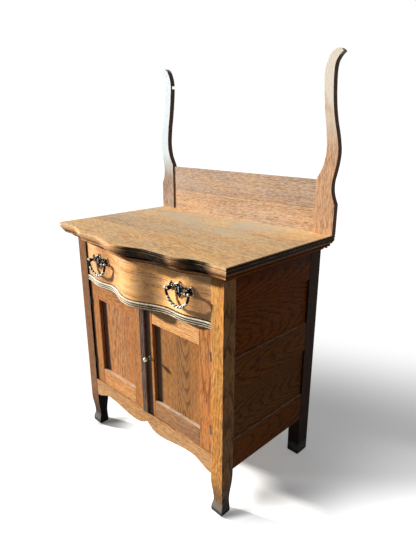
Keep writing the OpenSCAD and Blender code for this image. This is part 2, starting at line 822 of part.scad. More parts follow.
// One knuckle stretch, bored for the pin
module knuckle(z0, z1, bored) {
    translate([pin_x, pin_y, z0]) difference() {
        cylinder(h = z1 - z0, r = knuckle_r);
        if (bored) translate([0, 0, -cut]) cylinder(h = z1 - z0 + 2 * cut, r = hinge_pin_r + pin_clear);
    }
}

module case_leaf(z) {
    third = hinge_h / 3;
    difference() {
        block([half_open, pin_y, z - hinge_h / 2], [half_open + leaf_t, door_y + leaf_d, z + hinge_h / 2]);
        translate([pin_x, pin_y, z - third / 2 - knuckle_gap])
            cylinder(h = third + 2 * knuckle_gap, r = knuckle_r + knuckle_clear);
    }
    knuckle(z - hinge_h / 2, z - third / 2 - knuckle_gap, false);
    knuckle(z + third / 2 + knuckle_gap, z + hinge_h / 2, false);
    translate([pin_x, pin_y, z - hinge_h / 2]) cylinder(h = hinge_h, r = hinge_pin_r);
}

module door_leaf(z) {
    third = hinge_h / 3;
    x1 = half_open - door_gap;
    difference() {
        block([x1 - leaf_t, pin_y, z - hinge_h / 2], [x1, door_y + leaf_d, z + hinge_h / 2]);
        for (k = [-1, 1]) translate([pin_x, pin_y, z + k * (third + knuckle_gap) - third / 2 - knuckle_gap])
            cylinder(h = third + 2 * knuckle_gap, r = knuckle_r + knuckle_clear);
        translate([pin_x, pin_y, z - hinge_h]) cylinder(h = 2 * hinge_h, r = hinge_pin_r + pin_clear);
    }
    knuckle(z - third / 2, z + third / 2, true);
}

module case_hinge_leaves() {
    color(iron) for (s = [-1, 1]) side(s) for (z = [upper_hinge_z, lower_hinge_z]) case_leaf(z);
}

module door_hinge_leaves(s) {
    color(iron) side(s) for (z = [upper_hinge_z, lower_hinge_z]) door_leaf(z);
}

// Doors

// A stile from x0 to x1 whose panel groove and mortises open on the side g
module stile(x0, x1, g) {
    edge_x = g > 0 ? x1 : x0;
    inner = edge_x - g * groove_d;
    deep = edge_x - g * tenon_l;
    difference() {
        block([x0, door_y, door_z], [x1, door_back, door_top]);
        block([min(inner, edge_x + g * cut), door_groove_y, door_panel_z[0] - groove_d],
            [max(inner, edge_x + g * cut), door_groove_y + panel_t, door_panel_z[1] + groove_d]);
        for (z = [[door_z, door_panel_z[0]], [door_panel_z[1], door_top]])
            block([min(deep, edge_x + g * cut), door_y + panel_in, z[0] + tenon_shoulder],
                [max(deep, edge_x + g * cut), door_y + panel_in + panel_t, z[1] - tenon_shoulder]);
    }
}

// Cuts for the hinge leaves in a hinge stile on the right
module leaf_recesses() {
    x1 = half_open - door_gap;
    for (z = [upper_hinge_z, lower_hinge_z])
        block([x1 - leaf_t, door_y - cut, z - hinge_h / 2], [x1 + cut, door_y + leaf_d, z + hinge_h / 2]);
}

module hinge_stile(s) {
    x1 = half_open - door_gap;
    color(oak) side(s) difference() {
        stile(x1 - hinge_stile_w, x1, -1);
        leaf_recesses();
    }
}

module left_meeting_stile() {
    color(oak) stile(left_door[1] - left_meeting_w, left_door[1], -1);
}

module right_meeting_stile() {
    color(oak) difference() {
        stile(right_door[0], right_door[0] + right_meeting_w, 1);
        rod_y(knob_x, knob_z, door_y - cut, door_back + cut, spindle_r + pin_clear);
    }
}

// A rail between two stiles at x0 and x1, from z0 to z1, with its panel above or below
module door_rail(span, z0, z1, above) {
    x0 = span[0];
    x1 = span[1];
    color(oak) difference() {
        union() {
            block([x0, door_y, z0], [x1, door_back, z1]);
            block([x0 - tenon_l, door_y + panel_in, z0 + tenon_shoulder],
                [x1 + tenon_l, door_y + panel_in + panel_t, z1 - tenon_shoulder]);
        }
        block([x0 - tenon_l - cut, door_groove_y, above ? z1 - groove_d : z0 - cut],
            [x1 + tenon_l + cut, door_groove_y + panel_t, above ? z1 + cut : z0 + groove_d]);
    }
}

module door_panel(x0, x1) {
    e = groove_d - panel_play;
    color(oak) block([x0 - e, door_groove_y, door_panel_z[0] - e],
        [x1 + e, door_groove_y + panel_t, door_panel_z[1] + e]);
}

left_span = [left_door[0] + hinge_stile_w, left_door[1] - left_meeting_w];
right_span = [right_door[0] + right_meeting_w, right_door[1] - hinge_stile_w];

module meeting_strip() {
    pitch = strip_w / 3;
    color(oak) translate([right_door[0], door_y, door_z]) linear_extrude(door_h) difference() {
        translate([0, -strip_t]) square([strip_w - door_gap, strip_t]);
        for (i = [1, 2]) translate([i * pitch - door_gap / 2, -strip_t]) circle(r = 1.4);
        for (x = [0, strip_w - door_gap]) translate([x, -strip_t]) circle(r = 2);
    }
}

// Knob, cam and bolt

module door_knob() {
    y1 = cam_y + cam_t + 4;
    color(iron) {
        translate([knob_x, knob_y, knob_z]) rotate([90, 0, 0]) rotate_extrude() polygon(concat(
            [[0, 0.3], [knob_r, 0.3], [knob_r, 1.6], [4.6, 3.2], [3.1, 6], [2.9, knob_reach - 16]],
            [for (a = [-60:15:90]) [knob_r * cos(a), knob_reach - 7.5 + 7.5 * sin(a)]]));
        rod_y(knob_x, knob_z, knob_y - 1, y1, spindle_r);
    }
}

module latch_cam() {
    color(iron) difference() {
        union() {
            rod_y(knob_x, knob_z, cam_y, cam_y + cam_t, 8);
            block([knob_x - 6, cam_y, knob_z - cam_len + 6], [knob_x + 6, cam_y + cam_t, knob_z]);
            rod_y(knob_x, knob_z - cam_len + 6, cam_y, cam_y + cam_t, 6);
        }
        rod_y(knob_x, knob_z, cam_y - cut, cam_y + cam_t + cut, spindle_r);
    }
}

module left_bolt_bracket() {
    top = door_top - 4;
    color(iron) difference() {
        union() {
            block([bolt_x - 9, door_back, top - 62], [bolt_x + 9, door_back + 1.2, top]);
            for (z = [top - 10, top - 26, top - 58])
                block([bolt_x - 5, door_back + 1.2, z], [bolt_x + 5, bolt_y + 5, z + 6]);
        }
        translate([bolt_x, bolt_y, top - 70]) cylinder(h = 80, r = bolt_r + pin_clear);
    }
}

module left_bolt() {
    top = door_top - 1;
    color(steel) {
        translate([bolt_x, bolt_y, top - bolt_l]) cylinder(h = bolt_l, r = bolt_r);
        rod_y(bolt_x, top - 44, bolt_y, bolt_y + 12, 2.2);
    }
}

// Drawer

// One side's dovetails as a profile in Y and Z
module tail_profile(grow = 0) {
    h = case_z - 2 - side_z;
    pitch = h / tails;
    y1 = face_y + drawer_front_t;
    for (i = [0:tails - 1]) {
        z = side_z + (i + 0.5) * pitch;
        polygon([[y1 + grow, z - pitch * 0.26], [y1 + grow, z + pitch * 0.26],
            [y1 - tail_len, z + pitch * 0.36], [y1 - tail_len, z - pitch * 0.36]]);
    }
}

module drawer_front() {
    outer = edge(drawer_hw, face_y);
    inner = edge(drawer_hw, face_y, drawer_front_t);
    groove_w = side_in + bottom_groove;
    color(oak) difference() {
        translate([0, 0, drawer_z]) linear_extrude(drawer_top - drawer_z)
            polygon(concat(outer, reversed(inner)));
        translate([0, 0, bottom_z]) linear_extrude(bottom_groove_h) polygon(concat(
            edge(groove_w, face_y, drawer_front_t - bottom_groove),
            reversed(edge(groove_w, face_y, drawer_front_t + cut))));
        for (s = [-1, 1]) side(s) {
            along_x(side_in, drawer_hw + cut) tail_profile(cut);
            for (k = [-1, 1]) rod_y(pull_x + k * pull_post_x, pull_z, pull_y - 20, pull_y + 60, 2.6);
        }
    }
}

module drawer_side(s) {
    top = case_z - 2;
    y0 = face_y + drawer_front_t;
    color(pine) side(s) difference() {
        union() {
            block([side_in, y0, side_z], [drawer_hw, drawer_end, top]);
            along_x(side_in, drawer_hw) tail_profile(0.01);
        }
        block([side_in - cut, face_y, bottom_z],
            [side_in + bottom_groove, drawer_end + cut, bottom_z + bottom_groove_h]);
        block([side_in - cut, drawer_back_y - drawer_side_t, bottom_z + bottom_groove_h],
            [side_in + back_dado, drawer_back_y, top + cut]);
    }
}

module drawer_back() {
    w = side_in + back_dado;
    color(pine) block([-w, drawer_back_y - drawer_side_t, bottom_z + bottom_groove_h],
        [w, drawer_back_y, case_z - 12]);
}

module drawer_bottom() {
    w = side_in + bottom_groove - 0.5;
    front = edge(w, face_y, drawer_front_t - bottom_groove + 0.5);
    color(pine) translate([0, 0, bottom_z + 0.2]) linear_extrude(drawer_bottom_t)
        polygon(concat(front, [[w, drawer_end], [-w, drawer_end]]));
}

// Pulls

// Half of the back plate's outline about the pull's middle, from its top point round to its lowest point
plate_knots = [
    [0, 28], [2.5, 23], [8, 20.5], [16, 17.5], [24, 15], [31, 13.5], [35, 17], [38, 21], [41, 18], [41.5, 12],
    [45, 7], [46, 1], [43, -5], [37, -7], [32, -4], [28, 2], [22, 5], [17, 3], [14, -3], [12, -9], [7, -13],
    [4, -17], [0, -20]
];
plate_half = smooth(plate_knots, 2);
plate_left = [for (i = [len(plate_half) - 1:-1:1]) [-plate_half[i][0], plate_half[i][1]]];
plate_outline = concat(plate_half, [plate_knots[len(plate_knots) - 1]], plate_left);

plate_x = [for (x = stations(drawer_hw)) if (abs(x - pull_x) < 60) x];

module pull(s) {
    color(iron) side(s) {
        intersection() {
            translate([pull_x, 0, pull_z - post_up]) along_y(pull_y - 30, pull_y + 30) polygon(plate_outline);
            translate([0, 0, pull_z - 40]) linear_extrude(80) polygon(concat(
                [for (x = plate_x) [x, face_y - bow(x) - plate_t]],
                reversed([for (x = plate_x) [x, face_y - bow(x)]])));
        }
        for (k = [-1, 1]) {
            x = pull_x + k * pull_post_x;
            y = face_y - bow(x);
            difference() {
                translate([x, pivot_y, pull_z]) rotate([0, 90, 0]) sphere(r = pull_ball_r);
                translate([x - 10, pivot_y, pull_z]) rotate([0, 90, 0])
                    cylinder(h = 20, r = bail_pin_r + pin_clear);
            }
            rod_y(x, pull_z, pivot_y + 3, y, 3.2);
            rod_y(x, pull_z, y - 1, y + drawer_front_t + 7, 2.5);
            rod_y(x, pull_z, y + drawer_front_t + 2, y + drawer_front_t + 6, 5);
        }
    }
}

module bail(s) {
    eye = bail_rod_r + 0.8;
    color(iron) side(s) translate([pull_x, pivot_y, pull_z]) {
        rotate([90, 0, 0]) rotate([0, 0, 180]) rotate_extrude(angle = 180)
            translate([bail_r, 0]) circle(r = bail_rod_r);
        for (k = [-1, 1]) {
            translate([k * bail_r, 0, 0]) sphere(r = eye);
            translate([min(k * bail_r, k * (pull_post_x - pull_ball_r)), 0, 0]) rotate([0, 90, 0])
                cylinder(h = bail_r - pull_post_x + pull_ball_r, r = bail_pin_r);
        }
    }
}

front_post(-1);  // front_left_post
front_post(1);  // front_right_post
back_post(-1);  // back_left_post
back_post(1);  // back_right_post
side_rail(-1, top_rail_z, top_rail_h, false, true);  // left_top_rail
side_rail(-1, mid_rail_z, mid_rail_h, true, true);  // left_middle_rail
side_rail(-1, low_rail_z, low_rail_h, true, false);  // left_bottom_rail
side_rail(1, top_rail_z, top_rail_h, false, true);  // right_top_rail
side_rail(1, mid_rail_z, mid_rail_h, true, true);  // right_middle_rail
side_rail(1, low_rail_z, low_rail_h, true, false);  // right_bottom_rail
side_panel(-1, upper_panel_z);  // left_upper_panel
side_panel(-1, lower_panel_z);  // left_lower_panel
side_panel(1, upper_panel_z);  // right_upper_panel
side_panel(1, lower_panel_z);  // right_lower_panel
back_rail(case_z - back_top_h, case_z);  // back_top_rail
back_rail(low_rail_z, floor_z - floor_t);  // back_bottom_rail
back_boards();
reeded_rail();
apron();
cupboard_floor();
runner(-1);  // left_runner
runner(1);  // right_runner
stops();
top_board();
front_moulding();
side_moulding(-1);  // left_moulding
side_moulding(1);  // right_moulding
top_back_cleat();
splashback();
upright(-1);  // left_upright
upright(1);  // right_upright
upright_screws();
glue_blocks();
case_hinge_leaves();
hinge_stile(-1);  // left_hinge_stile
left_meeting_stile();
door_rail(left_span, door_panel_z[1], door_top, false);  // left_door_top_rail
door_rail(left_span, door_z, door_panel_z[0], true);  // left_door_bottom_rail
door_panel(left_span[0], left_span[1]);  // left_door_panel
door_hinge_leaves(-1);  // left_door_hinge_leaves
left_bolt_bracket();
left_bolt();
hinge_stile(1);  // right_hinge_stile
right_meeting_stile();
door_rail(right_span, door_panel_z[1], door_top, false);  // right_door_top_rail
door_rail(right_span, door_z, door_panel_z[0], true);  // right_door_bottom_rail
door_panel(right_span[0], right_span[1]);  // right_door_panel
door_hinge_leaves(1);  // right_door_hinge_leaves
meeting_strip();
door_knob();
latch_cam();
drawer_front();
drawer_side(-1);  // drawer_left_side
drawer_side(1);  // drawer_right_side
drawer_back();
drawer_bottom();
pull(-1);  // left_pull
pull(1);  // right_pull
bail(-1);  // left_bail
bail(1);  // right_bail
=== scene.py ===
import math

import bpy
from mathutils import Matrix, Vector


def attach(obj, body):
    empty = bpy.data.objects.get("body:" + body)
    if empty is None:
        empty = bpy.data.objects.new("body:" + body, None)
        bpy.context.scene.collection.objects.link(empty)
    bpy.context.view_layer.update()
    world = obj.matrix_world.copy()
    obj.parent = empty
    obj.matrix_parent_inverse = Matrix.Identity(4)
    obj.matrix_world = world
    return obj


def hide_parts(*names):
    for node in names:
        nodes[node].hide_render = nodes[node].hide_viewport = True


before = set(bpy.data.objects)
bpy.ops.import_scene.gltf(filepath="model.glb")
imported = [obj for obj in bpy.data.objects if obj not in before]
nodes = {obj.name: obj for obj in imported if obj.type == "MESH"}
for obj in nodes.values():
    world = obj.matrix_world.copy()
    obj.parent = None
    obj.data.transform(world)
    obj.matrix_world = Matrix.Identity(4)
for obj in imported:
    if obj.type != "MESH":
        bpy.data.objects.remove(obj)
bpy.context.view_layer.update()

MM = 0.001

# Sizes repeated from part.scad, in metres
BACK_Y = 0.2555
CASE_DEPTH = 0.42
FRONT_Y = BACK_Y - CASE_DEPTH
DRAWER_SET = 0.004
FACE_Y = FRONT_Y + DRAWER_SET
BOW_X = (0.0, 0.138, 0.19, 0.285)
BOW_F = (0.05, 0.013, 0.017, 0.0)
PULL_X = 0.186
PULL_Z = 0.6485
PULL_REACH = 0.011
POST_X = 0.034
PULL_BALL_R = 0.0048
BAIL_R = 0.0435
REEDS_Z = 0.562

# Places that only the looks use: a painted highlight line on the top's nose, the upper and lower edge of the front
# moulding's lip, the splashback's glue joint, and how far back the knob is rubbed and painted with a highlight
NOSE_HIGHLIGHT_Z = 0.7435
LIP_Z = 0.7105
LIP_FOOT_Z = 0.7034
SPLASH_JOINT_Z = 0.822
KNOB_RUB_AND_HIGHLIGHT_Y = -0.171

# Widths that only the looks use, and the angle in degrees from which an edge is rounded
EDGE_ANGLE = 50
EDGE_ROUND = 0.0011
WELD_REACH = 0.00002
WEAR_REACH = 0.003

# Where painted shade darkens the hollows of the top's front edge, along x
EDGE_SHADE_SPANS = ((0.0, 0.215), (0.2, 0.335))

# The photograph's camera
CAMERA_AT = (1.0258, -0.9192, 1.0496)
YAW, PITCH, ROLL = 44.87, 18.21, -0.07
LENS, SENSOR = 30.12, 36.0
CLIP_START = 0.05

# Light: the way the sun travels, its strength and colour, and the soft light all round
SUN_WAY = Vector((2.4, 1.06, -0.74))
SUN = 7.6
SUN_SIZE = 3.5
SUN_COLOUR = (1.0, 0.965, 0.92)
AMBIENT = 0.1
AMBIENT_COLOUR = (0.92, 0.96, 1.0, 1.0)

WHITE = (1.0, 1.0, 1.0, 1.0)
BLACK = (0.0, 0.0, 0.0, 1.0)
FLOOR_REACH = 30.0
FLOOR_PALE = (1.2, 1.2, 1.2, 1.0)
FLOOR_BOUNCE = (0.15, 0.15, 0.15, 1.0)


def bow(x):
    """How far the serpentine front stands out at x."""
    a = abs(x)
    for i in range(3):
        if a < BOW_X[i + 1]:
            t = (a - BOW_X[i]) / (BOW_X[i + 1] - BOW_X[i])
            return BOW_F[i] + (BOW_F[i + 1] - BOW_F[i]) * (1 - math.cos(math.pi * t)) / 2
    return 0.0


def lin(rgb):
    """A colour of 0 to 255 as the linear numbers that shaders use."""
    out = []
    for c in rgb:
        c /= 255
        out.append(c / 12.92 if c <= 0.04045 else ((c + 0.055) / 1.055) ** 2.4)
    return (*out, 1.0)


class Net:
    """Builds a node tree with short calls."""

    def __init__(self, tree):
        self.tree = tree
        tree.nodes.clear()

    def node(self, kind, **settings):
        n = self.tree.nodes.new(kind)
        for key, value in settings.items():
            setattr(n, key, value)
        return n

    def link(self, a, b):
        self.tree.links.new(a, b)

    def put(self, socket, value):
        if isinstance(value, bpy.types.NodeSocket):
            self.link(value, socket)
        else:
            socket.default_value = value

    def shader(self, kind, **inputs):
        """A shader node's output, with its inputs set by name."""
        n = self.node(kind)
        for key, value in inputs.items():
            self.put(n.inputs[key], value)
        return n.outputs[0]

    def mix_shaders(self, f, a, b):
        n = self.node("ShaderNodeMixShader")
        for i, socket in enumerate((f, a, b)):
            self.link(socket, n.inputs[i])
        return n.outputs[0]

    def math(self, op, a, b=0.0, clamp=False):
        n = self.node("ShaderNodeMath", operation=op, use_clamp=clamp)
        self.put(n.inputs[0], a)
        self.put(n.inputs[1], b)
        return n.outputs[0]

    def add(self, a, b):
        return self.math("ADD", a, b)

    def sub(self, a, b):
        return self.math("SUBTRACT", a, b)

    def mul(self, first, *others):
        for other in others:
            first = self.math("MULTIPLY", first, other)
        return first

    def centred(self, v):
        """A noise around 0."""
        return self.sub(v, 0.5)

    def dot(self, a, b):
        n = self.node("ShaderNodeVectorMath", operation="DOT_PRODUCT")
        self.put(n.inputs[0], a)
        self.put(n.inputs[1], b)
        return n.outputs["Value"]

    def split(self, v):
        n = self.node("ShaderNodeSeparateXYZ")
        self.link(v, n.inputs[0])
        return n.outputs[0], n.outputs[1], n.outputs[2]

    def join(self, x, y, z):
        n = self.node("ShaderNodeCombineXYZ")
        for i, v in enumerate((x, y, z)):
            self.put(n.inputs[i], v)
        return n.outputs[0]

    def noise(self, v, scale, detail=2.0, rough=0.5):
        """Noise along v, stretched by three scales."""
        stretched = self.node("ShaderNodeVectorMath", operation="MULTIPLY")
        self.link(v, stretched.inputs[0])
        stretched.inputs[1].default_value = scale
        n = self.node("ShaderNodeTexNoise")
        self.link(stretched.outputs[0], n.inputs["Vector"])
        n.inputs["Scale"].default_value = 1.0
        n.inputs["Detail"].default_value = detail
        n.inputs["Roughness"].default_value = rough
        return n.outputs["Fac"]

    def ramp(self, v, stops):
        n = self.node("ShaderNodeValToRGB")
        r = n.color_ramp
        while len(r.elements) < len(stops):
            r.elements.new(0.5)
        for e, (at, colour) in zip(r.elements, stops):
            e.position = at
            e.color = colour
        self.link(v, n.inputs[0])
        return n.outputs[0]

    def between(self, v, lo, hi, a=0.0, b=1.0):
        """v from lo to hi becomes a to b, softly."""
        n = self.node("ShaderNodeMapRange", interpolation_type="SMOOTHSTEP")
        for i, x in enumerate((v, lo, hi, a, b)):
            self.put(n.inputs[i], x)
        return n.outputs[0]

    def line(self, v, at, core, half, amount):
        """amount where v is within core of at, and nothing past half."""
        return self.between(self.math("ABSOLUTE", self.sub(v, at)), core, half, amount, 0.0)

    def mix(self, f, a, b, how="MIX"):
        n = self.node("ShaderNodeMix", data_type="RGBA", blend_type=how)
        self.put(n.inputs[0], f)
        self.put(n.inputs[6], a)
        self.put(n.inputs[7], b)
        return n.outputs[2]


class Finish(Net):
    """One material of the object: its nodes, a point's place and direction, and the colour so far."""

    def __init__(self, name):
        self.mat = bpy.data.materials.new(name)
        self.mat.use_nodes = True
        super().__init__(self.mat.node_tree)
        self.bsdf = self.node("ShaderNodeBsdfPrincipled")
        self.link(self.bsdf.outputs[0], self.node("ShaderNodeOutputMaterial").inputs[0])
        where = self.node("ShaderNodeTexCoord")
        self.coords = where.outputs["Object"]
        self.xyz = self.split(self.coords)
        self.facing = self.split(where.outputs["Normal"])
        self.colour = WHITE

    def tint(self, amount, shade):
        """Multiplies the colour by a linear shade, as far as amount says."""
        self.colour = self.mix(amount, self.colour, self.mix(1.0, self.colour, shade, "MULTIPLY"))

    def cover(self, amount, shade):
        """Lays a linear shade over the colour, as far as amount says."""
        self.colour = self.mix(amount, self.colour, shade)

    def bump(self, height, strength, distance):
        n = self.node("ShaderNodeBump")
        n.inputs["Strength"].default_value = strength
        n.inputs["Distance"].default_value = distance
        self.link(height, n.inputs["Height"])
        self.link(n.outputs[0], self.bsdf.inputs["Normal"])

    def finish(self):
        self.link(self.colour, self.bsdf.inputs["Base Color"])
        return self.mat


AXES = {"x": 0, "y": 1, "z": 2}

# The axes across a board, into it and along its grain
POST = ("y", "x", "z")
STILE = ("x", "y", "z")
RAIL = ("z", "y", "x")
SIDE_BOARD = ("z", "x", "y")
FLAT = ("y", "z", "x")


# Layers of a wood's colour. Each is a function of the material, or gives that function when called with settings.
def joint_at(height, shade):
    """A glue joint at a height, and a board of another shade under it."""
    def lay(n):
        n.tint(n.between(n.xyz[2], height - 0.001, height + 0.001, 1.0, 0.0), (*shade, 1.0))
        n.cover(n.line(n.xyz[2], height, 0.0003, 0.0016, 0.5), lin((110, 86, 64)))
    return lay


def pale_patches(axis, start, end, amount, shade, low=0.26, thins=None):
    """Pale patches that grow from start to end along an axis. thins says where along x they become few."""
    def lay(n):
        far = n.between(n.xyz[AXES[axis]], start, end)
        if thins:
            far = n.mul(far, n.between(n.xyz[0], thins[1], thins[0], 0.15, 1.0))
        patches = n.between(n.noise(n.coords, (5.0, 9.0, 5.0), 5.0, 0.65), low, low + 0.22)
        n.cover(n.math("MULTIPLY", n.mul(far, patches), amount, clamp=True), lin(shade))
    return lay


def front_edge_shade_and_highlight(n):
    """Painted shade darkens the faces that look forward, and a painted highlight line runs along the left half."""
    n.tint(n.between(n.facing[1], -0.3, -0.8), (0.72, 0.63, 0.58, 1.0))
    line = n.mul(n.line(n.xyz[2], NOSE_HIGHLIGHT_Z, 0.0012, 0.0024, 0.85), n.between(n.xyz[0], 0.06, -0.08))
    n.cover(n.mul(line, n.between(n.facing[1], -0.2, -0.4)), lin((255, 248, 228)))


def groove_shade(*lines):
    """Painted shade in long grooves: each line has its height and half its width."""
    def lay(n):
        for height, half in lines:
            n.cover(n.line(n.xyz[2], height, half * 0.75, half, 0.97), lin((12, 8, 6)))
    return lay


def fade(axis, start, end, shade):
    """Multiplies the colour by shade, not at all at start and fully from end on."""
    return lambda n: n.tint(n.between(n.xyz[AXES[axis]], start, end), (*shade, 1.0))


def painted_shade_right(shade):
    """Painted shade: multiplies the colour of faces that look right, away from the sun, by shade."""
    return lambda n: n.tint(n.between(n.facing[0], 0.55, 0.85), lin(shade))


def dust_and_highlight(amount, tone=(206, 198, 186)):
    """Dust on ledges that look up, which on the doors' bottom rails also stands for a painted highlight."""
    def lay(n):
        up = n.between(n.facing[2], 0.75, 0.95, 0.0, amount)
        patches = n.between(n.noise(n.coords, (30.0, 30.0, 30.0), 3.0), 0.3, 0.6, 0.45, 1.0)
        n.cover(n.mul(up, patches), lin(tone))
    return lay


def painted_hollow_shade(n):
    """Painted shade: black patches in the hollows of the top's front edge, down to the moulding's lip."""
    x = n.xyz[0]
    mark = 0.0
    for start, end in EDGE_SHADE_SPANS:
        here = n.mul(n.between(x, start, start + 0.06), n.between(x, end, end - 0.04))
        mark = n.math("MAXIMUM", mark, here)
    above_lip = n.between(n.xyz[2], LIP_Z - 0.0015, LIP_Z + 0.0015)
    mark = n.mul(mark, n.between(n.facing[1], -0.12, -0.3), above_lip)
    drift = n.between(n.noise(n.coords, (40.0, 40.0, 90.0), 3.0, 0.6), 0.25, 0.55, 0.85, 1.0)
    n.cover(n.mul(mark, drift), lin((9, 7, 6)))


def foot(inner=0.0):
    """A grey, scuffed foot with a dark rim. inner paints shade on its face that looks right."""
    def lay(n):
        z = n.xyz[2]
        n.tint(n.between(z, 0.16, 0.04, 0.0, 0.85), lin((124, 146, 194)))
        scuff = n.between(n.noise(n.coords, (60.0, 60.0, 60.0), 4.0, 0.65), 0.34, 0.6, 0.55, 1.0)
        n.cover(n.mul(n.between(z, 0.045, 0.03, 0.0, 0.8), scuff), lin((124, 124, 122)))
        if inner:
            n.cover(n.mul(n.between(n.facing[0], 0.3, 0.7), n.between(z, 0.13, 0.05, 0.0, inner)),
                    lin((30, 34, 36)))
        n.cover(n.between(z, 0.018, 0.012, 0.0, 0.85), lin((56, 57, 52)))
    return lay


def wear_edges(n, place, amount, tone):
    """Sharp edges rubbed to a paler tone."""
    soft = n.node("ShaderNodeBevel", samples=4)
    soft.inputs["Radius"].default_value = WEAR_REACH
    flat = n.dot(soft.outputs[0], n.node("ShaderNodeNewGeometry").outputs["Normal"])
    patches = n.between(n.noise(place, (25.0, 25.0, 12.0), 3.0), 0.35, 0.6)
    n.cover(n.mul(n.between(flat, 0.97, 0.8, 0.0, amount), patches), lin(tone))


def tones(mid, spread):
    """Light, middle and dark of a wood whose middle tone is mid."""
    m = lin(mid)
    light = tuple(min(1.0, c * (1 + k * spread)) for c, k in zip(m[:3], (0.34, 0.4, 0.48)))
    dark = tuple(c * (1 - k * spread) for c, k in zip(m[:3], (0.55, 0.64, 0.7)))
    return (*light, 1.0), m, (*dark, 1.0)


def ring_phase(n, across, depth, ring):
    """0 to 1 from each ring to the next, around the axis where across and depth are 0."""
    radius = n.math("SQRT", n.add(n.mul(across, across), n.mul(depth, depth)))
    return n.math("FRACT", n.math("DIVIDE", radius, ring))


def oak(name, seed, grain, mid, heart, tilt, ring=0.0055, spread=1.0, figure=1.0, boards=(), tints=(),
        rough=0.5, shine=0.2, worn=0.3, worn_tone=(236, 208, 170), streaks=0.45, flecks=1.0, warmth=0.55,
        under=(), over=()):
    """Sawn oak. heart is the rings' centre, across the board and in depth, and tilt leans it along the grain.
    boards lists where glued-up boards meet, across the grain, and tints multiplies each board's colour. Layers
    of under lie below the worn edges, and those of over above them."""
    n = Finish("oak_" + name)
    u, v, w = (n.xyz[AXES[a]] for a in grain)
    light, middle, dark = tones(mid, spread)
    tint = None
    shift = 0.0
    for i, at in enumerate(boards):
        past = n.math("GREATER_THAN", u, at)
        shift = n.add(shift, n.mul(past, 0.37 + 0.21 * i))
        before = tint if tint is not None else lin(tints[0])
        tint = n.mix(past, before, lin(tints[i + 1]))
    place = n.join(u, n.add(v, seed * 0.37), n.add(w, n.add(shift, seed * 1.31)))

    # Growth rings, bent by a slow and a quick noise
    slow = n.centred(n.noise(place, (6.0, 6.0, 1.6)))
    quick = n.centred(n.noise(place, (50.0, 50.0, 7.0)))
    du = n.add(n.add(n.sub(u, heart[0]), n.mul(slow, 0.05)), n.mul(shift, 0.11))
    dv = n.add(n.add(n.sub(v, heart[1]), n.mul(n.add(w, shift), tilt)), n.mul(quick, 0.007))
    early = n.between(ring_phase(n, du, dv, ring), 0.0, 0.6, 1.0, 0.0)

    # Fibres, flecks, patches and streaks along the grain, and pores in the rings' early wood
    fibre = n.noise(place, (420.0, 420.0, 26.0), 3.0, 0.65)
    fleck = n.noise(place, (290.0, 290.0, 64.0), 3.0, 0.6)
    patch = n.noise(place, (8.0, 8.0, 2.2), 4.0, 0.6)
    streak = n.noise(place, (75.0, 75.0, 1.6), 3.0, 0.6)
    pore = n.between(n.noise(place, (700.0, 700.0, 60.0), 1.0), 0.52, 0.64)
    pore = n.mul(pore, n.between(early, 0.0, 1.0, 0.35, 1.0))
    tone = n.sub(0.6, n.mul(early, 0.22 * figure))
    for part, amount in ((fibre, 1.1 * flecks), (fleck, 1.5 * flecks), (patch, 0.85), (streak, 1.1 * streaks)):
        tone = n.add(tone, n.mul(n.centred(part), amount))
    n.colour = n.ramp(tone, [(0.12, dark), (0.5, middle), (0.9, light)])
    warm = n.between(n.noise(place, (26.0, 26.0, 5.0), 3.0, 0.6), 0.42, 0.62, 0.0, warmth)
    n.tint(warm, (1.12, 0.96, 0.7, 1.0))
    if tint is not None:
        n.tint(1.0, tint)
    n.cover(n.mul(pore, 0.6), (*(c * 0.3 for c in dark[:3]), 1.0))

    for lay in under:
        lay(n)
    wear_edges(n, place, worn, worn_tone)
    for lay in over:
        lay(n)
    gloss = n.add(rough, n.mul(n.centred(patch), 0.25))
    n.link(n.add(gloss, n.mul(pore, 0.25)), n.bsdf.inputs["Roughness"])
    n.bsdf.inputs["Specular IOR Level"].default_value = shine
    height = n.sub(n.mul(fibre, 0.35), n.mul(pore, 0.8))
    n.bump(n.sub(height, n.mul(early, 0.2)), 0.35, 0.0006)
    return n.finish()


def pine(name, grain, shades=((226, 200, 156), (205, 172, 122), (168, 128, 82)), seed=0.0):
    """Unfinished softwood; shades are its light, middle and dark."""
    n = Finish(name)
    u, v, w = (n.xyz[AXES[a]] for a in grain)
    place = n.join(u, n.add(v, seed * 0.7), n.add(w, seed * 1.7))
    warp = n.centred(n.noise(place, (6.0, 6.0, 2.0)))
    turn = ring_phase(n, n.add(u, n.mul(warp, 0.07)), n.add(n.add(v, 0.14), n.mul(w, 0.05)), 0.008)
    late = n.between(turn, 0.45, 0.95)
    fibre = n.noise(place, (300.0, 300.0, 6.0))
    patch = n.noise(place, (7.0, 7.0, 2.0), 3.0)
    tone = n.sub(0.72, n.mul(late, 0.36))
    for part, amount in ((fibre, 0.3), (patch, 0.6)):
        tone = n.add(tone, n.mul(n.centred(part), amount))
    light, middle, dark = (lin(t) for t in shades)
    n.colour = n.ramp(tone, [(0.15, dark), (0.55, middle), (0.9, light)])
    n.bsdf.inputs["Roughness"].default_value = 0.72
    n.bump(n.sub(fibre, late), 0.2, 0.0004)
    return n.finish()


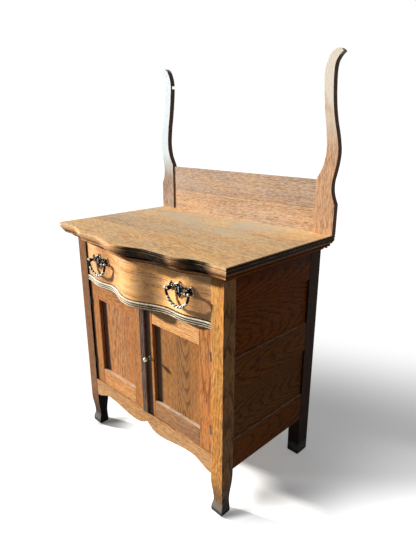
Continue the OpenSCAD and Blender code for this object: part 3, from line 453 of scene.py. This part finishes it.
def metal(name, deep, bright, metallic, rough, grime=0.45, pointed=(0.5, 0.55), raised=None, front=None):
    """Dark tarnish with rubbed high places: sharp ones by pointed, or those where the value raised of the
    mesh's points is high, or those in front of a y, which on the knob also stand for a painted highlight."""
    n = Finish(name)
    spots = n.noise(n.coords, (260.0, 260.0, 260.0), 4.0, 0.6)
    if raised:
        high = n.between(n.node("ShaderNodeAttribute", attribute_name=raised).outputs["Fac"], 0.5, 0.8)
        n.bsdf.inputs["Specular IOR Level"].default_value = 0.08
    elif front:
        high = n.between(n.xyz[1], front + 0.003, front - 0.003)
    else:
        high = n.between(n.node("ShaderNodeNewGeometry").outputs["Pointiness"], *pointed)
    rub = n.math("ADD", n.mul(high, 0.85), n.mul(spots, grime), clamp=True)
    n.colour = n.mix(rub, lin(deep), lin(bright))
    n.bsdf.inputs["Metallic"].default_value = metallic
    n.link(n.between(rub, 0.0, 1.0, rough[1], rough[0]), n.bsdf.inputs["Roughness"])
    n.bump(spots, 0.15, 0.0003)
    return n.finish()


# Middle tones of the oak
LEFT_POST = (147, 107, 78)
GOLD = (226, 165, 95)
# The back posts are darkened to the tone of the shade they stand in: painted shade
REAR_IN_SHADE = (48, 32, 22)
SIDE_TOP = (145, 78, 31)
SIDE_MIDDLE = (133, 80, 34)
SIDE_BOTTOM = (124, 71, 30)
SIDE_UPPER = (138, 76, 29)
SIDE_LOWER = (126, 80, 40)
SIDE_MOULDING = (142, 78, 33)
REEDS = (255, 240, 206)
APRON = (194, 148, 100)
TOP = (238, 197, 152)
MOULDING = (196, 146, 98)
SPLASH = (175, 149, 126)
RIGHT_UPRIGHT = (189, 149, 115)
DOOR = (184, 122, 66)
LEFT_DOOR_FOOT = (206, 148, 94)
LEFT_PANEL = (190, 134, 84)
RIGHT_STILE = (186, 122, 66)
# The right door's top rail is brightened against the reeded rail's cast shadow: painted light
RIGHT_DOOR_HEAD_LIFTED = (232, 172, 112)
RIGHT_DOOR_FOOT = (164, 118, 78)
RIGHT_PANEL = (166, 114, 64)
STRIP = (100, 77, 68)
DRAWER = (214, 158, 100)

# Settings and layers that several pieces share
LEFT_SIDE = dict(figure=1.5, spread=1.3)
RIGHT_SIDE = dict(LEFT_SIDE, shine=0.04)
# Painted shade: the side rails darken towards the top's overhang
SHADE_UNDER_TOP = fade("z", 0.655, 0.7, (0.4, 0.38, 0.42))
UPRIGHT_RIGHT_SHADE = painted_shade_right((112, 78, 58))
# Painted shadow that the stiles cast on the door panels' left edges
PANEL_EDGE_SHADOW = (0.1, 0.09, 0.09)

# Each piece of oak: grain, middle tone, heart, tilt and what else it needs. Its place in the list is its seed.
OAKS = {
    "front_left_post": (POST, LEFT_POST, (-0.142, -0.2), 0.02,
                        dict(shine=0.03, under=[painted_shade_right((74, 88, 100))], over=[foot(inner=0.85)])),
    "front_right_post": (POST, GOLD, (-0.142, 0.22), 0.05,
                         dict(shine=0.04, figure=1.5, under=[painted_shade_right((232, 240, 288))], over=[foot()])),
    "back_left_post": (POST, REAR_IN_SHADE, (0.2, -0.2), 0.03, dict(shine=0.04, over=[foot()])),
    "back_right_post": (POST, REAR_IN_SHADE, (0.2, 0.2), 0.03, dict(shine=0.04, over=[foot()])),
    "left_top_rail": (SIDE_BOARD, SIDE_TOP, (0.66, -0.42), 0.06, dict(LEFT_SIDE, under=[SHADE_UNDER_TOP])),
    "left_middle_rail": (SIDE_BOARD, SIDE_MIDDLE, (0.43, -0.42), -0.05, dict(LEFT_SIDE, over=[dust_and_highlight(0.8)])),
    "left_bottom_rail": (SIDE_BOARD, SIDE_BOTTOM, (0.18, -0.42), 0.05, dict(LEFT_SIDE, over=[dust_and_highlight(0.8)])),
    "right_top_rail": (SIDE_BOARD, SIDE_TOP, (0.69, 0.24), 0.1, dict(RIGHT_SIDE, under=[SHADE_UNDER_TOP])),
    "right_middle_rail": (SIDE_BOARD, SIDE_MIDDLE, (0.43, 0.24), -0.08, dict(RIGHT_SIDE, over=[dust_and_highlight(0.9)])),
    "right_bottom_rail": (SIDE_BOARD, SIDE_BOTTOM, (0.19, 0.24), 0.08, dict(RIGHT_SIDE, over=[dust_and_highlight(0.9)])),
    "left_upper_panel": (SIDE_BOARD, SIDE_UPPER, (0.55, -0.42), 0.08, LEFT_SIDE),
    "left_lower_panel": (SIDE_BOARD, SIDE_LOWER, (0.3, -0.42), -0.08, LEFT_SIDE),
    "right_upper_panel": (SIDE_BOARD, SIDE_UPPER, (0.53, 0.22), 0.12, RIGHT_SIDE),
    "right_lower_panel": (SIDE_BOARD, SIDE_LOWER, (0.3, 0.22), -0.12, RIGHT_SIDE),
    "reeded_rail": (RAIL, REEDS, (1.3, 0.0), 0.01,
                    dict(worn=0.5, worn_tone=(250, 232, 204),
                         under=[groove_shade((REEDS_Z + 0.001, 0.002), (REEDS_Z + 0.0074, 0.002),
                                       (REEDS_Z + 0.0134, 0.002), (REEDS_Z + 0.0202, 0.0012))])),
    "apron": (RAIL, APRON, (0.9, -0.02), 0.03, {}),
    "top_board": (FLAT, TOP, (0.9, 0.7), 0.02,
                  dict(ring=0.007, boards=(-0.09, 0.08), tints=((255, 250, 240), (244, 244, 244), (255, 255, 250)),
                       rough=0.46, shine=0.03, figure=0.5, streaks=0.3,
                       # Painted sheen with wear: pale patches towards the back of the top
                       under=[pale_patches("y", -0.12, 0.15, 0.92, (212, 202, 180), low=0.4, thins=(0.1, 0.3)),
                              front_edge_shade_and_highlight, painted_shade_right((20, 17, 16))],
                       over=[painted_hollow_shade])),
    "front_moulding": (RAIL, MOULDING, (1.3, 0.0), 0.02,
                       dict(worn=0.6, shine=0.03,
                            # A painted highlight brightens the moulding below the lip, and a painted shadow line
                            # lies at the lip's foot
                            under=[front_edge_shade_and_highlight, groove_shade((LIP_FOOT_Z, 0.0012)),
                                   fade("z", LIP_Z, LIP_Z - 0.0017, (1.6, 1.66, 1.7))],
                            over=[painted_hollow_shade])),
    "left_moulding": (SIDE_BOARD, MOULDING, (1.3, 0.0), 0.02, {}),
    "right_moulding": (SIDE_BOARD, SIDE_MOULDING, (1.3, 0.0), 0.02, dict(shine=0.02)),
    "splashback": (RAIL, SPLASH, (1.7, 0.3), 0.03,
                   dict(figure=0.5, shine=0.3, under=[joint_at(SPLASH_JOINT_Z, (1.2, 1.15, 1.06))])),
    # Painted reflection: pale bluish patches towards the top of the left upright
    "left_upright": (STILE, SPLASH, (0.4, 0.32), 0.02,
                     dict(figure=0.6, under=[pale_patches("z", 0.84, 1.0, 1.3, (216, 230, 236)), UPRIGHT_RIGHT_SHADE])),
    "right_upright": (STILE, RIGHT_UPRIGHT, (-0.4, 0.32), 0.02,
                      dict(figure=0.6, shine=0.12,
                           under=[pale_patches("z", 0.95, 1.2, 1.5, (220, 212, 198)), UPRIGHT_RIGHT_SHADE])),
    # Painted shadow of the front left post along the hinge stile's left edge
    "left_hinge_stile": (STILE, DOOR, (0.5, 0.1), 0.01,
                         dict(under=[fade("x", -0.27, -0.275, (0.16, 0.15, 0.15))])),
    "left_meeting_stile": (STILE, DOOR, (0.5, 0.1), 0.01, {}),
    "left_door_top_rail": (RAIL, DOOR, (1.3, -0.05), 0.02, {}),
    # Dust with a painted highlight on the bottom rail's ledge
    "left_door_bottom_rail": (RAIL, LEFT_DOOR_FOOT, (1.0, -0.05), 0.02, dict(over=[dust_and_highlight(0.8, (222, 206, 186))])),
    "left_door_panel": (STILE, LEFT_PANEL, (-0.15, -0.02), 0.05,
                        dict(boards=(-0.19, -0.12), tints=((255, 246, 238), (255, 255, 255), (240, 232, 222)),
                             under=[fade("x", -0.206, -0.214, PANEL_EDGE_SHADOW)])),
    "right_hinge_stile": (STILE, RIGHT_STILE, (0.26, -0.06), 0.03, dict(figure=1.5)),
    # Painted shadow of the meeting strip on the stile's left part
    "right_meeting_stile": (STILE, DOOR, (0.5, 0.1), 0.01,
                            dict(under=[fade("x", 0.034, 0.030, (0.13, 0.14, 0.18))])),
    "right_door_top_rail": (RAIL, RIGHT_DOOR_HEAD_LIFTED, (1.3, -0.05), 0.02, {}),
    # Dust with a painted highlight on the bottom rail's ledge
    "right_door_bottom_rail": (RAIL, RIGHT_DOOR_FOOT, (1.0, -0.05), 0.02,
                               dict(over=[dust_and_highlight(0.9, (228, 216, 200))])),
    "right_door_panel": (STILE, RIGHT_PANEL, (0.215, -0.03), 0.09,
                         dict(ring=0.0045, boards=(0.134, 0.188), figure=2.4,
                              tints=((250, 250, 244), (226, 228, 222), (255, 253, 236)),
                              under=[fade("x", 0.07, 0.06, PANEL_EDGE_SHADOW)])),
    "meeting_strip": (STILE, STRIP, (0.5, 0.1), 0.01, dict(worn=0.5)),
    "drawer_front": (RAIL, DRAWER, (1.5, 0.02), 0.03,
                     dict(ring=0.006, worn=0.2, figure=0.6, streaks=1.7, flecks=0.45, warmth=0.8, shine=0.35,
                          # Painted light brightens the drawer from its middle rightwards, and a painted shadow of
                          # the right pull darkens it from x 0.19 on
                          rough=0.42, under=[fade("x", -0.08, 0.06, (1.6, 1.74, 1.86)),
                                             fade("x", 0.19, 0.25, (0.5, 0.48, 0.5))])),
}
MATS = {name: oak(name, float(seed), grain, mid, heart, tilt, **more)
        for seed, (name, (grain, mid, heart, tilt, more)) in enumerate(OAKS.items(), 1)}

for mat, names in (
        (pine("pine_back", RAIL, ((206, 164, 118), (180, 136, 92), (142, 102, 66)), 3.0),
         ("back_top_rail", "back_bottom_rail", "back_boards", "top_back_cleat")),
        (pine("pine_along_x", RAIL), ("drawer_back", "stops")),
        (pine("pine_along_y", SIDE_BOARD, seed=1.0),
         ("left_runner", "right_runner", "drawer_left_side", "drawer_right_side", "glue_blocks")),
        (pine("pine_flat", FLAT, seed=2.0), ("cupboard_floor", "drawer_bottom")),
        (metal("dark_iron", (14, 12, 11), (52, 47, 41), 0.4, (0.45, 0.7)),
         ("case_hinge_leaves", "left_door_hinge_leaves", "right_door_hinge_leaves", "left_bolt_bracket",
          "latch_cam")),
        (metal("dull_steel", (92, 90, 88), (168, 166, 162), 0.9, (0.3, 0.5)), ("upright_screws", "left_bolt")),
        # The knob is bright in front of its rub line: hand wear with a painted highlight
        (metal("worn_brass_highlit", (34, 38, 32), (196, 186, 150), 0.5, (0.25, 0.5), grime=0.2, front=KNOB_RUB_AND_HIGHLIGHT_Y),
         ("door_knob",)),
        (metal("tarnished_brass", (16, 13, 10), (244, 224, 180), 0.8, (0.22, 0.55), grime=0.1,
               pointed=(0.52, 0.6)), ("left_pull", "right_pull", "left_bail", "right_bail"))):
    for name in names:
        MATS[name] = mat
CAST = metal("cast_brass", (8, 7, 7), (255, 250, 232), 0.15, (0.3, 0.7), grime=0.02, raised="rubbed")

# Their lofts are rounded already
NO_SOFT_EDGE = ("top_board", "front_moulding", "reeded_rail")
for name, node in nodes.items():
    node.data.materials.clear()
    node.data.materials.append(MATS[name])
    weld = node.modifiers.new("weld", "WELD")
    weld.merge_threshold = WELD_REACH
    if MATS[name].name.startswith(("oak", "pine")) and name not in NO_SOFT_EDGE:
        soft = node.modifiers.new("soft_edges", "BEVEL")
        soft.width = EDGE_ROUND
        soft.segments = 2
        soft.limit_method = "ANGLE"
        soft.angle_limit = math.radians(EDGE_ANGLE)
        soft.use_clamp_overlap = True
        soft.harden_normals = False


def add_cast(name, parts, body):
    """A cast piece of verts, faces and rubbed places, which rides on a body."""
    verts, faces, rubbed = parts
    me = bpy.data.meshes.new(name)
    me.from_pydata([tuple(v) for v in verts], [], faces)
    me.validate()
    me.attributes.new("rubbed", "FLOAT", "POINT").data.foreach_set("value", rubbed)
    me.materials.append(CAST)
    for poly in me.polygons:
        poly.use_smooth = True
    ob = bpy.data.objects.new(name, me)
    bpy.context.scene.collection.objects.link(ob)
    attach(ob, body)
    return ob


# The drawer pulls: a cast plate that follows the bow, turned posts and a twisted bail. Sizes here are in
# millimetres from the plate's middle, outwards from the drawer's middle, up, and out from the drawer's face.
PLATE_HIGH = ((0, 28), (2.5, 23), (8, 20.5), (16, 17.5), (24, 15), (31, 13.5), (35, 17), (38, 21), (41, 18),
              (41.5, 12), (45, 7), (46, 1))
PLATE_LOW = ((0, -20), (4, -17), (7, -13), (11, -8), (13, -1), (15, 6), (18, 9), (25, 9), (28, 4), (31, -4),
             (37, -7), (43, -5), (46, 1))
PLATE_HALF = 46
PLATE_COLS, PLATE_ROWS = 150, 44
POST_A = POST_X * 1000
POST_UP = 3.0
DRAWER_FRONT_T = 20
NUT_DEPTH = 7

# Turned profiles: radius and distance out. The stem's base starts at the drawer's face and its head at the
# bail's axis; the nut starts at its own back, and its end lies under the plate.
STEM_BASE = [(6.8, 1.2), (6.9, 2.4), (5.8, 3.3), (4.4, 3.9), (3.4, 4.6)]
STEM_HEAD = [(3.0, -5.2), (4.6, -4.4), (5.8, -2.6), (6.1, 0), (5.7, 2.0), (4.6, 3.4), (2.3, 4.2), (2.5, 4.9),
             (1.8, 5.8), (0.4, 6.2)]
NUT = [(0.4, 0), (2.1, 0.2), (2.5, 0.8), (2.5, 1.0), (4.4, 1.0), (5.0, 1.5), (5.0, 4.6), (4.4, 5.0), (2.5, 5.0)]
NUT_END = [(2.5, 0.4), (0.4, 0.5)]
BEAD_TURNS = (0, 0.4, 0.8, 1.15, 1.45)
EYE = ((-4.0, 1.2), (-3.6, 2.3), (-2.7, 3.3), (-1.4, 4.0), (0, 4.2), (1.4, 4.0), (2.7, 3.3), (3.6, 2.3),
       (4.0, 1.2))

# Scrolls: size, place out and up, turns, start and hand. Beads: place out and up, and radius
SCROLLS = ((2.6, 24, 12.6, 1.3, 2.6, -1), (2.8, 14.5, 11.5, 1.2, 0.4, 1), (3.2, 36.5, 14.5, 1.1, -1.6, -1))
BEADS = ((28.5, 8.5, 1.7), (19.5, 11.5, 1.3), (9.5, -3.5, 1.6), (10.0, 14.5, 1.5), (38, 16.5, 1.6))


def level(knots, a):
    """The height of a broken line at a."""
    for (a0, h0), (a1, h1) in zip(knots, knots[1:]):
        if a <= a1:
            return h0 + (h1 - h0) * (a - a0) / (a1 - a0)
    return knots[-1][1]


def hump(d, r):
    """1 in the middle, falling to 0 at distance r."""
    return math.sqrt(1 - (d / r) ** 2) if abs(d) < r else 0.0


def relief(a, h):
    """Height of the casting above the drawer's face."""
    side = abs(a)
    high, low = level(PLATE_HIGH, side), level(PLATE_LOW, side)
    edge = max(0.0, min(high - h, h - low))
    inside = min(1.0, edge / 2.2)
    rise = 1.1 + 1.0 * hump(edge - 1.5, 1.5)
    # A shield with a rib in the middle, and fans above and below it
    shield = hump(math.hypot(side / 7.5, (h - 4) / 9.0), 1.0)
    rise = max(rise, 1.4 + 4.6 * shield + 0.5 * hump(side, 1.2) * shield)
    if side < 9 and h > 8:
        fan = math.atan2(side, h - 2)
        rise += inside * (0.5 + 1.4 * abs(math.cos(fan * 6.5))) * min(1.0, (h - 8) / 4)
    if side < 9 and h < -4:
        fan = math.atan2(side, h + 24)
        rise += inside * (0.4 + 1.6 * abs(math.cos(fan * 4))) * min(1.0, (-4 - h) / 4)
    # Fluted arms, and petals around each post
    if 7 < side < 33:
        t = (h - low) / max(1.0, high - low)
        flute = abs(math.sin(math.pi * (t * 2.6 + (side - 7) / 11)))
        rise += inside * (0.3 + 2.3 * flute) * min(1.0, (side - 7) / 2, (33 - side) / 3)
    far = math.hypot(side - POST_A, h - POST_UP)
    if far < 13:
        petal = abs(math.cos(4 * math.atan2(h - POST_UP, side - POST_A)))
        rise += inside * (0.4 + 1.6 * petal) * hump(far - 8, 5)
    return rise


def on_drawer(way, a, h, out):
    """The point of the drawer's face at a and h, raised by out."""
    x = PULL_X + a * MM
    return Vector((way * x, FACE_Y - bow(x) - out * MM, PULL_Z + (h - POST_UP) * MM))


def plate_mesh(way):
    """The cast plate, rubbed along its edges and on the middle rib."""
    verts, faces, rubbed = [], [], []
    reach = PLATE_HALF - 0.1
    for i in range(PLATE_COLS + 1):
        a = -reach + 2 * reach * i / PLATE_COLS
        top, bottom = level(PLATE_HIGH, abs(a)), level(PLATE_LOW, abs(a))
        high, low = (top, bottom) if top - bottom >= 0.4 else (1.2, 0.8)
        verts.append(on_drawer(way, a, low, 0.1))
        rubbed.append(0.0)
        for j in range(PLATE_ROWS + 1):
            h = low + (high - low) * j / PLATE_ROWS
            verts.append(on_drawer(way, a, h, relief(a, h)))
            edge = min(top - h, h - bottom, (PLATE_HALF - abs(a)) * 1.5)
            rib = hump(a, 1.5) if -3 < h < 13 else 0.0
            rubbed.append(max(0.0, 1.2 - edge / 3.0, rib))
        verts.append(on_drawer(way, a, high, 0.1))
        rubbed.append(0.0)
    step = PLATE_ROWS + 3
    for i in range(PLATE_COLS):
        for j in range(step - 1):
            k = i * step + j
            face = (k, k + step, k + step + 1, k + 1)
            faces.append(face if way > 0 else face[::-1])
    return verts, faces, rubbed


def tube_faces(rows, around):
    """The faces between rows of points, each row a closed loop."""
    faces = []
    for i in range(rows - 1):
        for j in range(around):
            k = (j + 1) % around
            faces.append((i * around + j, i * around + k, (i + 1) * around + k, (i + 1) * around + j))
    return faces


def turned(way, a, h, start, profile, around=28):
    """A turning whose axis comes straight out of the drawer, rubbed at its outer end; profile lists radius
    and distance out."""
    x, z = PULL_X + a * MM, PULL_Z + (h - POST_UP) * MM
    verts, rubbed = [], []
    for r, out in profile:
        rubbed.extend([1.0 if out > profile[-1][1] - 2.4 else 0.0] * around)
        for i in range(around):
            t = 2 * math.pi * i / around
            verts.append(Vector((way * x + r * math.cos(t) * MM, start - out * MM, z + r * math.sin(t) * MM)))
    faces = tube_faces(len(profile), around)
    faces.append(tuple(range((len(profile) - 1) * around, len(profile) * around)))
    return verts, faces, rubbed


def swept(points, radius, around=18):
    """A rod through points; radius(i, turn) is its section, in millimetres, rubbed where it is thickest."""
    verts, rubbed = [], []
    sizes = [[radius(i, 2 * math.pi * j / around) for j in range(around)] for i in range(len(points))]
    for i, p in enumerate(points):
        along = (points[min(i + 1, len(points) - 1)] - points[max(i - 1, 0)]).normalized()
        out = Vector((0, -1, 0)) if abs(along.y) <= 0.9 else Vector((0, 0, 1))
        across = along.cross(out).normalized()
        out = across.cross(along).normalized()
        near = [r for row in sizes[max(0, i - 14):i + 15] for r in row]
        lo, hi = min(near), max(near)
        for j, size in enumerate(sizes[i]):
            t = 2 * math.pi * j / around
            verts.append(p + (across * math.cos(t) + out * math.sin(t)) * size * MM)
            rubbed.append(0.4 + (size - lo) / (hi - lo) if hi - lo > 0.3 else 0.52)
    faces = tube_faces(len(points), around)
    faces.append(tuple(range(around))[::-1])
    faces.append(tuple(range((len(points) - 1) * around, len(points) * around)))
    return verts, faces, rubbed


def gather(parts):
    """Several meshes as one."""
    verts, faces, rubbed = [], [], []
    for v, f, r in parts:
        n = len(verts)
        verts.extend(v)
        rubbed.extend(r)
        faces.extend(tuple(i + n for i in face) for face in f)
    return verts, faces, rubbed


def spiral(way, a, h, size, turns, start, hand):
    """A small scroll lying on the plate."""
    points = []
    for i in range(30):
        t = i / 29
        angle = start + hand * t * turns * 2 * math.pi
        r = size * (1 - 0.78 * t)
        u, v = a + r * math.cos(angle), h + r * math.sin(angle)
        points.append(on_drawer(way, u, v, relief(u, v) + 0.3))
    return swept(points, lambda i, t: 1.15 - 0.5 * abs(i / 29 - 0.4), 8)


def pull_parts(way):
    """The plate with its two posts and nuts, scrolls and beads."""
    bail_y = FACE_Y - bow(PULL_X) - PULL_REACH
    parts = [plate_mesh(way)]
    for k in (-1, 1):
        base = FACE_Y - bow(PULL_X + k * POST_X)
        reach = (base - bail_y) * 1000
        stem = STEM_BASE + [(r, reach + out) for r, out in STEM_HEAD]
        parts.append(turned(way, k * POST_A, POST_UP, base, stem))
        nut = [(r, out - DRAWER_FRONT_T - NUT_DEPTH) for r, out in NUT] + NUT_END
        parts.append(turned(way, k * POST_A, POST_UP, base, nut, 24))
        for size, a, h, turns, start, hand in SCROLLS:
            parts.append(spiral(way, k * a, h, size, turns, start if k > 0 else math.pi - start, hand * k))
        for a, h, r in BEADS:
            height = relief(a, h)
            dome = [(r, height - 1.0)] + [(r * math.cos(t), height + r * math.sin(t)) for t in BEAD_TURNS]
            parts.append(turned(way, k * a, h, FACE_Y - bow(PULL_X + k * a * MM), dome, 12))
    return gather(parts)


def bail_parts(way):
    """The bail: plain ends, two collars, a twisted middle, and a pin and an eye at each end."""
    y = FACE_Y - bow(PULL_X) - PULL_REACH
    points, count = [], 260
    for i in range(count + 1):
        t = math.pi * (1 + i / count)
        points.append(Vector((way * PULL_X + BAIL_R * math.cos(t), y, PULL_Z + BAIL_R * math.sin(t))))

    def section(i, t):
        s = i / count
        mid = min(1.0, max(0.0, (s - 0.2) / 0.015), max(0.0, (0.8 - s) / 0.015))
        collar = hump(abs(abs(s - 0.5) - 0.315), 0.014)
        plain = 3.4 + 0.4 * math.sin(math.pi * s)
        rope = 3.0 + 1.6 * abs(math.cos(t - way * s * 34)) ** 1.5
        return max(plain + (rope - plain) * mid, plain + 1.2 * collar)

    parts = [swept(points, section)]
    for k in (-1, 1):
        x = way * PULL_X + k * BAIL_R
        inner = way * PULL_X + k * (POST_X - PULL_BALL_R)
        pin = [Vector((x + (inner - x) * j / 6, y, PULL_Z)) for j in range(7)]
        parts.append(swept(pin, lambda i, t: 2.0, 14))
        eye = [Vector((x + k * MM * u, y, PULL_Z)) for u, _ in EYE]
        parts.append(swept(eye, lambda i, t: EYE[i][1], 18))
    return gather(parts)


for way, side in ((-1, "left"), (1, "right")):
    piece = add_cast(side + "_pull_casting", pull_parts(way), "drawer")
    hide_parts(side + "_pull")
    piece = add_cast(side + "_bail_rod", bail_parts(way), side + "_bail")
    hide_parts(side + "_bail")


# Camera, light and floor
camera = bpy.data.cameras.new("camera")
camera.lens = LENS
camera.sensor_width = SENSOR
camera.clip_start = CLIP_START
viewer = bpy.data.objects.new("camera", camera)
aim = Matrix.Rotation(math.radians(YAW), 4, "Z") @ Matrix.Rotation(math.radians(90 - PITCH), 4, "X")
viewer.matrix_world = Matrix.Translation(CAMERA_AT) @ aim @ Matrix.Rotation(math.radians(ROLL), 4, "Z")
bpy.context.scene.collection.objects.link(viewer)
bpy.context.scene.camera = viewer

lamp = bpy.data.lights.new("sun", "SUN")
lamp.energy = SUN
lamp.angle = math.radians(SUN_SIZE)
lamp.color = SUN_COLOUR
sun = bpy.data.objects.new("sun", lamp)
sun.rotation_mode = "QUATERNION"
sun.rotation_quaternion = SUN_WAY.to_track_quat("-Z", "Y")
bpy.context.scene.collection.objects.link(sun)


def seen(n):
    """1 for what the camera, a gloss or a glass shows, else 0."""
    path = n.node("ShaderNodeLightPath")
    last = path.outputs["Is Camera Ray"]
    for key in ("Is Glossy Ray", "Is Transmission Ray"):
        last = n.math("MAXIMUM", last, path.outputs[key])
    return last


world = bpy.data.worlds.new("studio")
bpy.context.scene.world = world
world.use_nodes = True
sky = Net(world.node_tree)
soft_light = sky.shader("ShaderNodeBackground", Color=AMBIENT_COLOUR, Strength=AMBIENT)
white = sky.shader("ShaderNodeBackground", Color=WHITE)
sky.link(sky.mix_shaders(seen(sky), soft_light, white), sky.node("ShaderNodeOutputWorld").inputs[0])

# Directions on the floor: over and along the cast shadow, towards the camera, and along and over the
# painted contact shadows. Distances on the floor are in metres from the washstand's middle.
ACROSS, ALONG, AHEAD, STREAK = (-0.404, 0.915), (0.915, 0.404), (0.707, -0.707), (0.55, 0.835)
OVER_STREAK = (STREAK[1], -STREAK[0])
STREAK_HALF, STREAK_LONG = 0.028, 0.17

# Where the front feet stand, and how dark their painted contact shadows are
FRONT_FEET = (((0.325, -0.15), 0.72), ((-0.29, -0.15), 0.6))


def floor_look(n):
    """A pale floor that glows where the cast shadow has to be thinner than the sun alone makes it."""
    ground = n.node("ShaderNodeTexCoord").outputs["Object"]

    def span(way, start, end, low=0.0, high=1.0):
        """low to high between two distances along way."""
        return n.between(n.dot(ground, (*way, 0.0)), start, end, low, high)

    # White ahead of the washstand. A painted glow thins out the cast shadow with distance, and under the case's
    # front
    distant = n.mul(span(ALONG, 0.4, 0.8, 0.0, 0.42), span(AHEAD, -0.25, 0.42))
    under = n.mul(span(ALONG, -0.29, -0.19, 0.0, 0.72), span(ALONG, 0.2, 0.05), span(ACROSS, 0.12, 0.05))
    near_glow = n.add(n.add(span(AHEAD, 0.16, 0.42, 0.24, 1.0), distant), under)

    # Painted shadow: a dark place to the right of the right foot, and a contact shadow beside each front foot
    contact = n.mul(span(AHEAD, 0.18, 0.26, 0.0, 0.55), span(AHEAD, 0.26, 0.38, 1.0, 0.0),
                    span(ALONG, 0.25, 0.33), span(ALONG, 0.6, 0.33))
    for (x, y), deep in FRONT_FEET:
        out = x * STREAK[0] + y * STREAK[1]
        over = x * OVER_STREAK[0] + y * OVER_STREAK[1]
        beside = n.mul(span(STREAK, out - 0.03, out, 0.0, deep), span(STREAK, out, out + STREAK_LONG, 1.0, 0.0))
        for edge in (-STREAK_HALF, STREAK_HALF):
            beside = n.mul(beside, span(OVER_STREAK, over + edge, over + edge * 0.1))
        contact = n.math("MAXIMUM", contact, beside)

    # At the back a painted fade takes over within the cast shadow, so that the shadow ends softly
    far = n.mul(span(ACROSS, 0.2, 0.32), span(ALONG, 0.1, 0.3))
    darkest = span(ALONG, 0.4, 0.8, 0.345, 0.42)
    rise = n.math("MAXIMUM", span(ACROSS, 0.33, 1.03), span(ALONG, 0.8, 1.5))
    far_glow = n.add(darkest, n.mul(rise, n.sub(1.0, darkest)))
    keep = n.mul(n.sub(1.0, contact), n.sub(1.0, far))

    both = n.node("ShaderNodeAddShader")
    n.link(n.shader("ShaderNodeBsdfDiffuse", Color=n.mix(keep, BLACK, FLOOR_PALE)), both.inputs[0])
    strength = n.add(n.mul(near_glow, keep), n.mul(far_glow, far))
    n.link(n.shader("ShaderNodeEmission", Color=WHITE, Strength=strength), both.inputs[1])
    dull = n.shader("ShaderNodeBsdfDiffuse", Color=FLOOR_BOUNCE)
    n.link(n.mix_shaders(seen(n), dull, both.outputs[0]), n.node("ShaderNodeOutputMaterial").inputs[0])


floor_mesh = bpy.data.meshes.new("floor")
corners = [(x * FLOOR_REACH, y * FLOOR_REACH, 0) for x, y in ((-1, -1), (1, -1), (1, 1), (-1, 1))]
floor_mesh.from_pydata(corners, [], [(0, 1, 2, 3)])
floor = bpy.data.objects.new("floor", floor_mesh)
bpy.context.scene.collection.objects.link(floor)
pale_floor = bpy.data.materials.new("pale_floor")
pale_floor.use_nodes = True
floor_mesh.materials.append(pale_floor)
floor_look(Net(pale_floor.node_tree))

bpy.context.scene.view_settings.view_transform = "Standard"

bpy.context.view_layer.update()
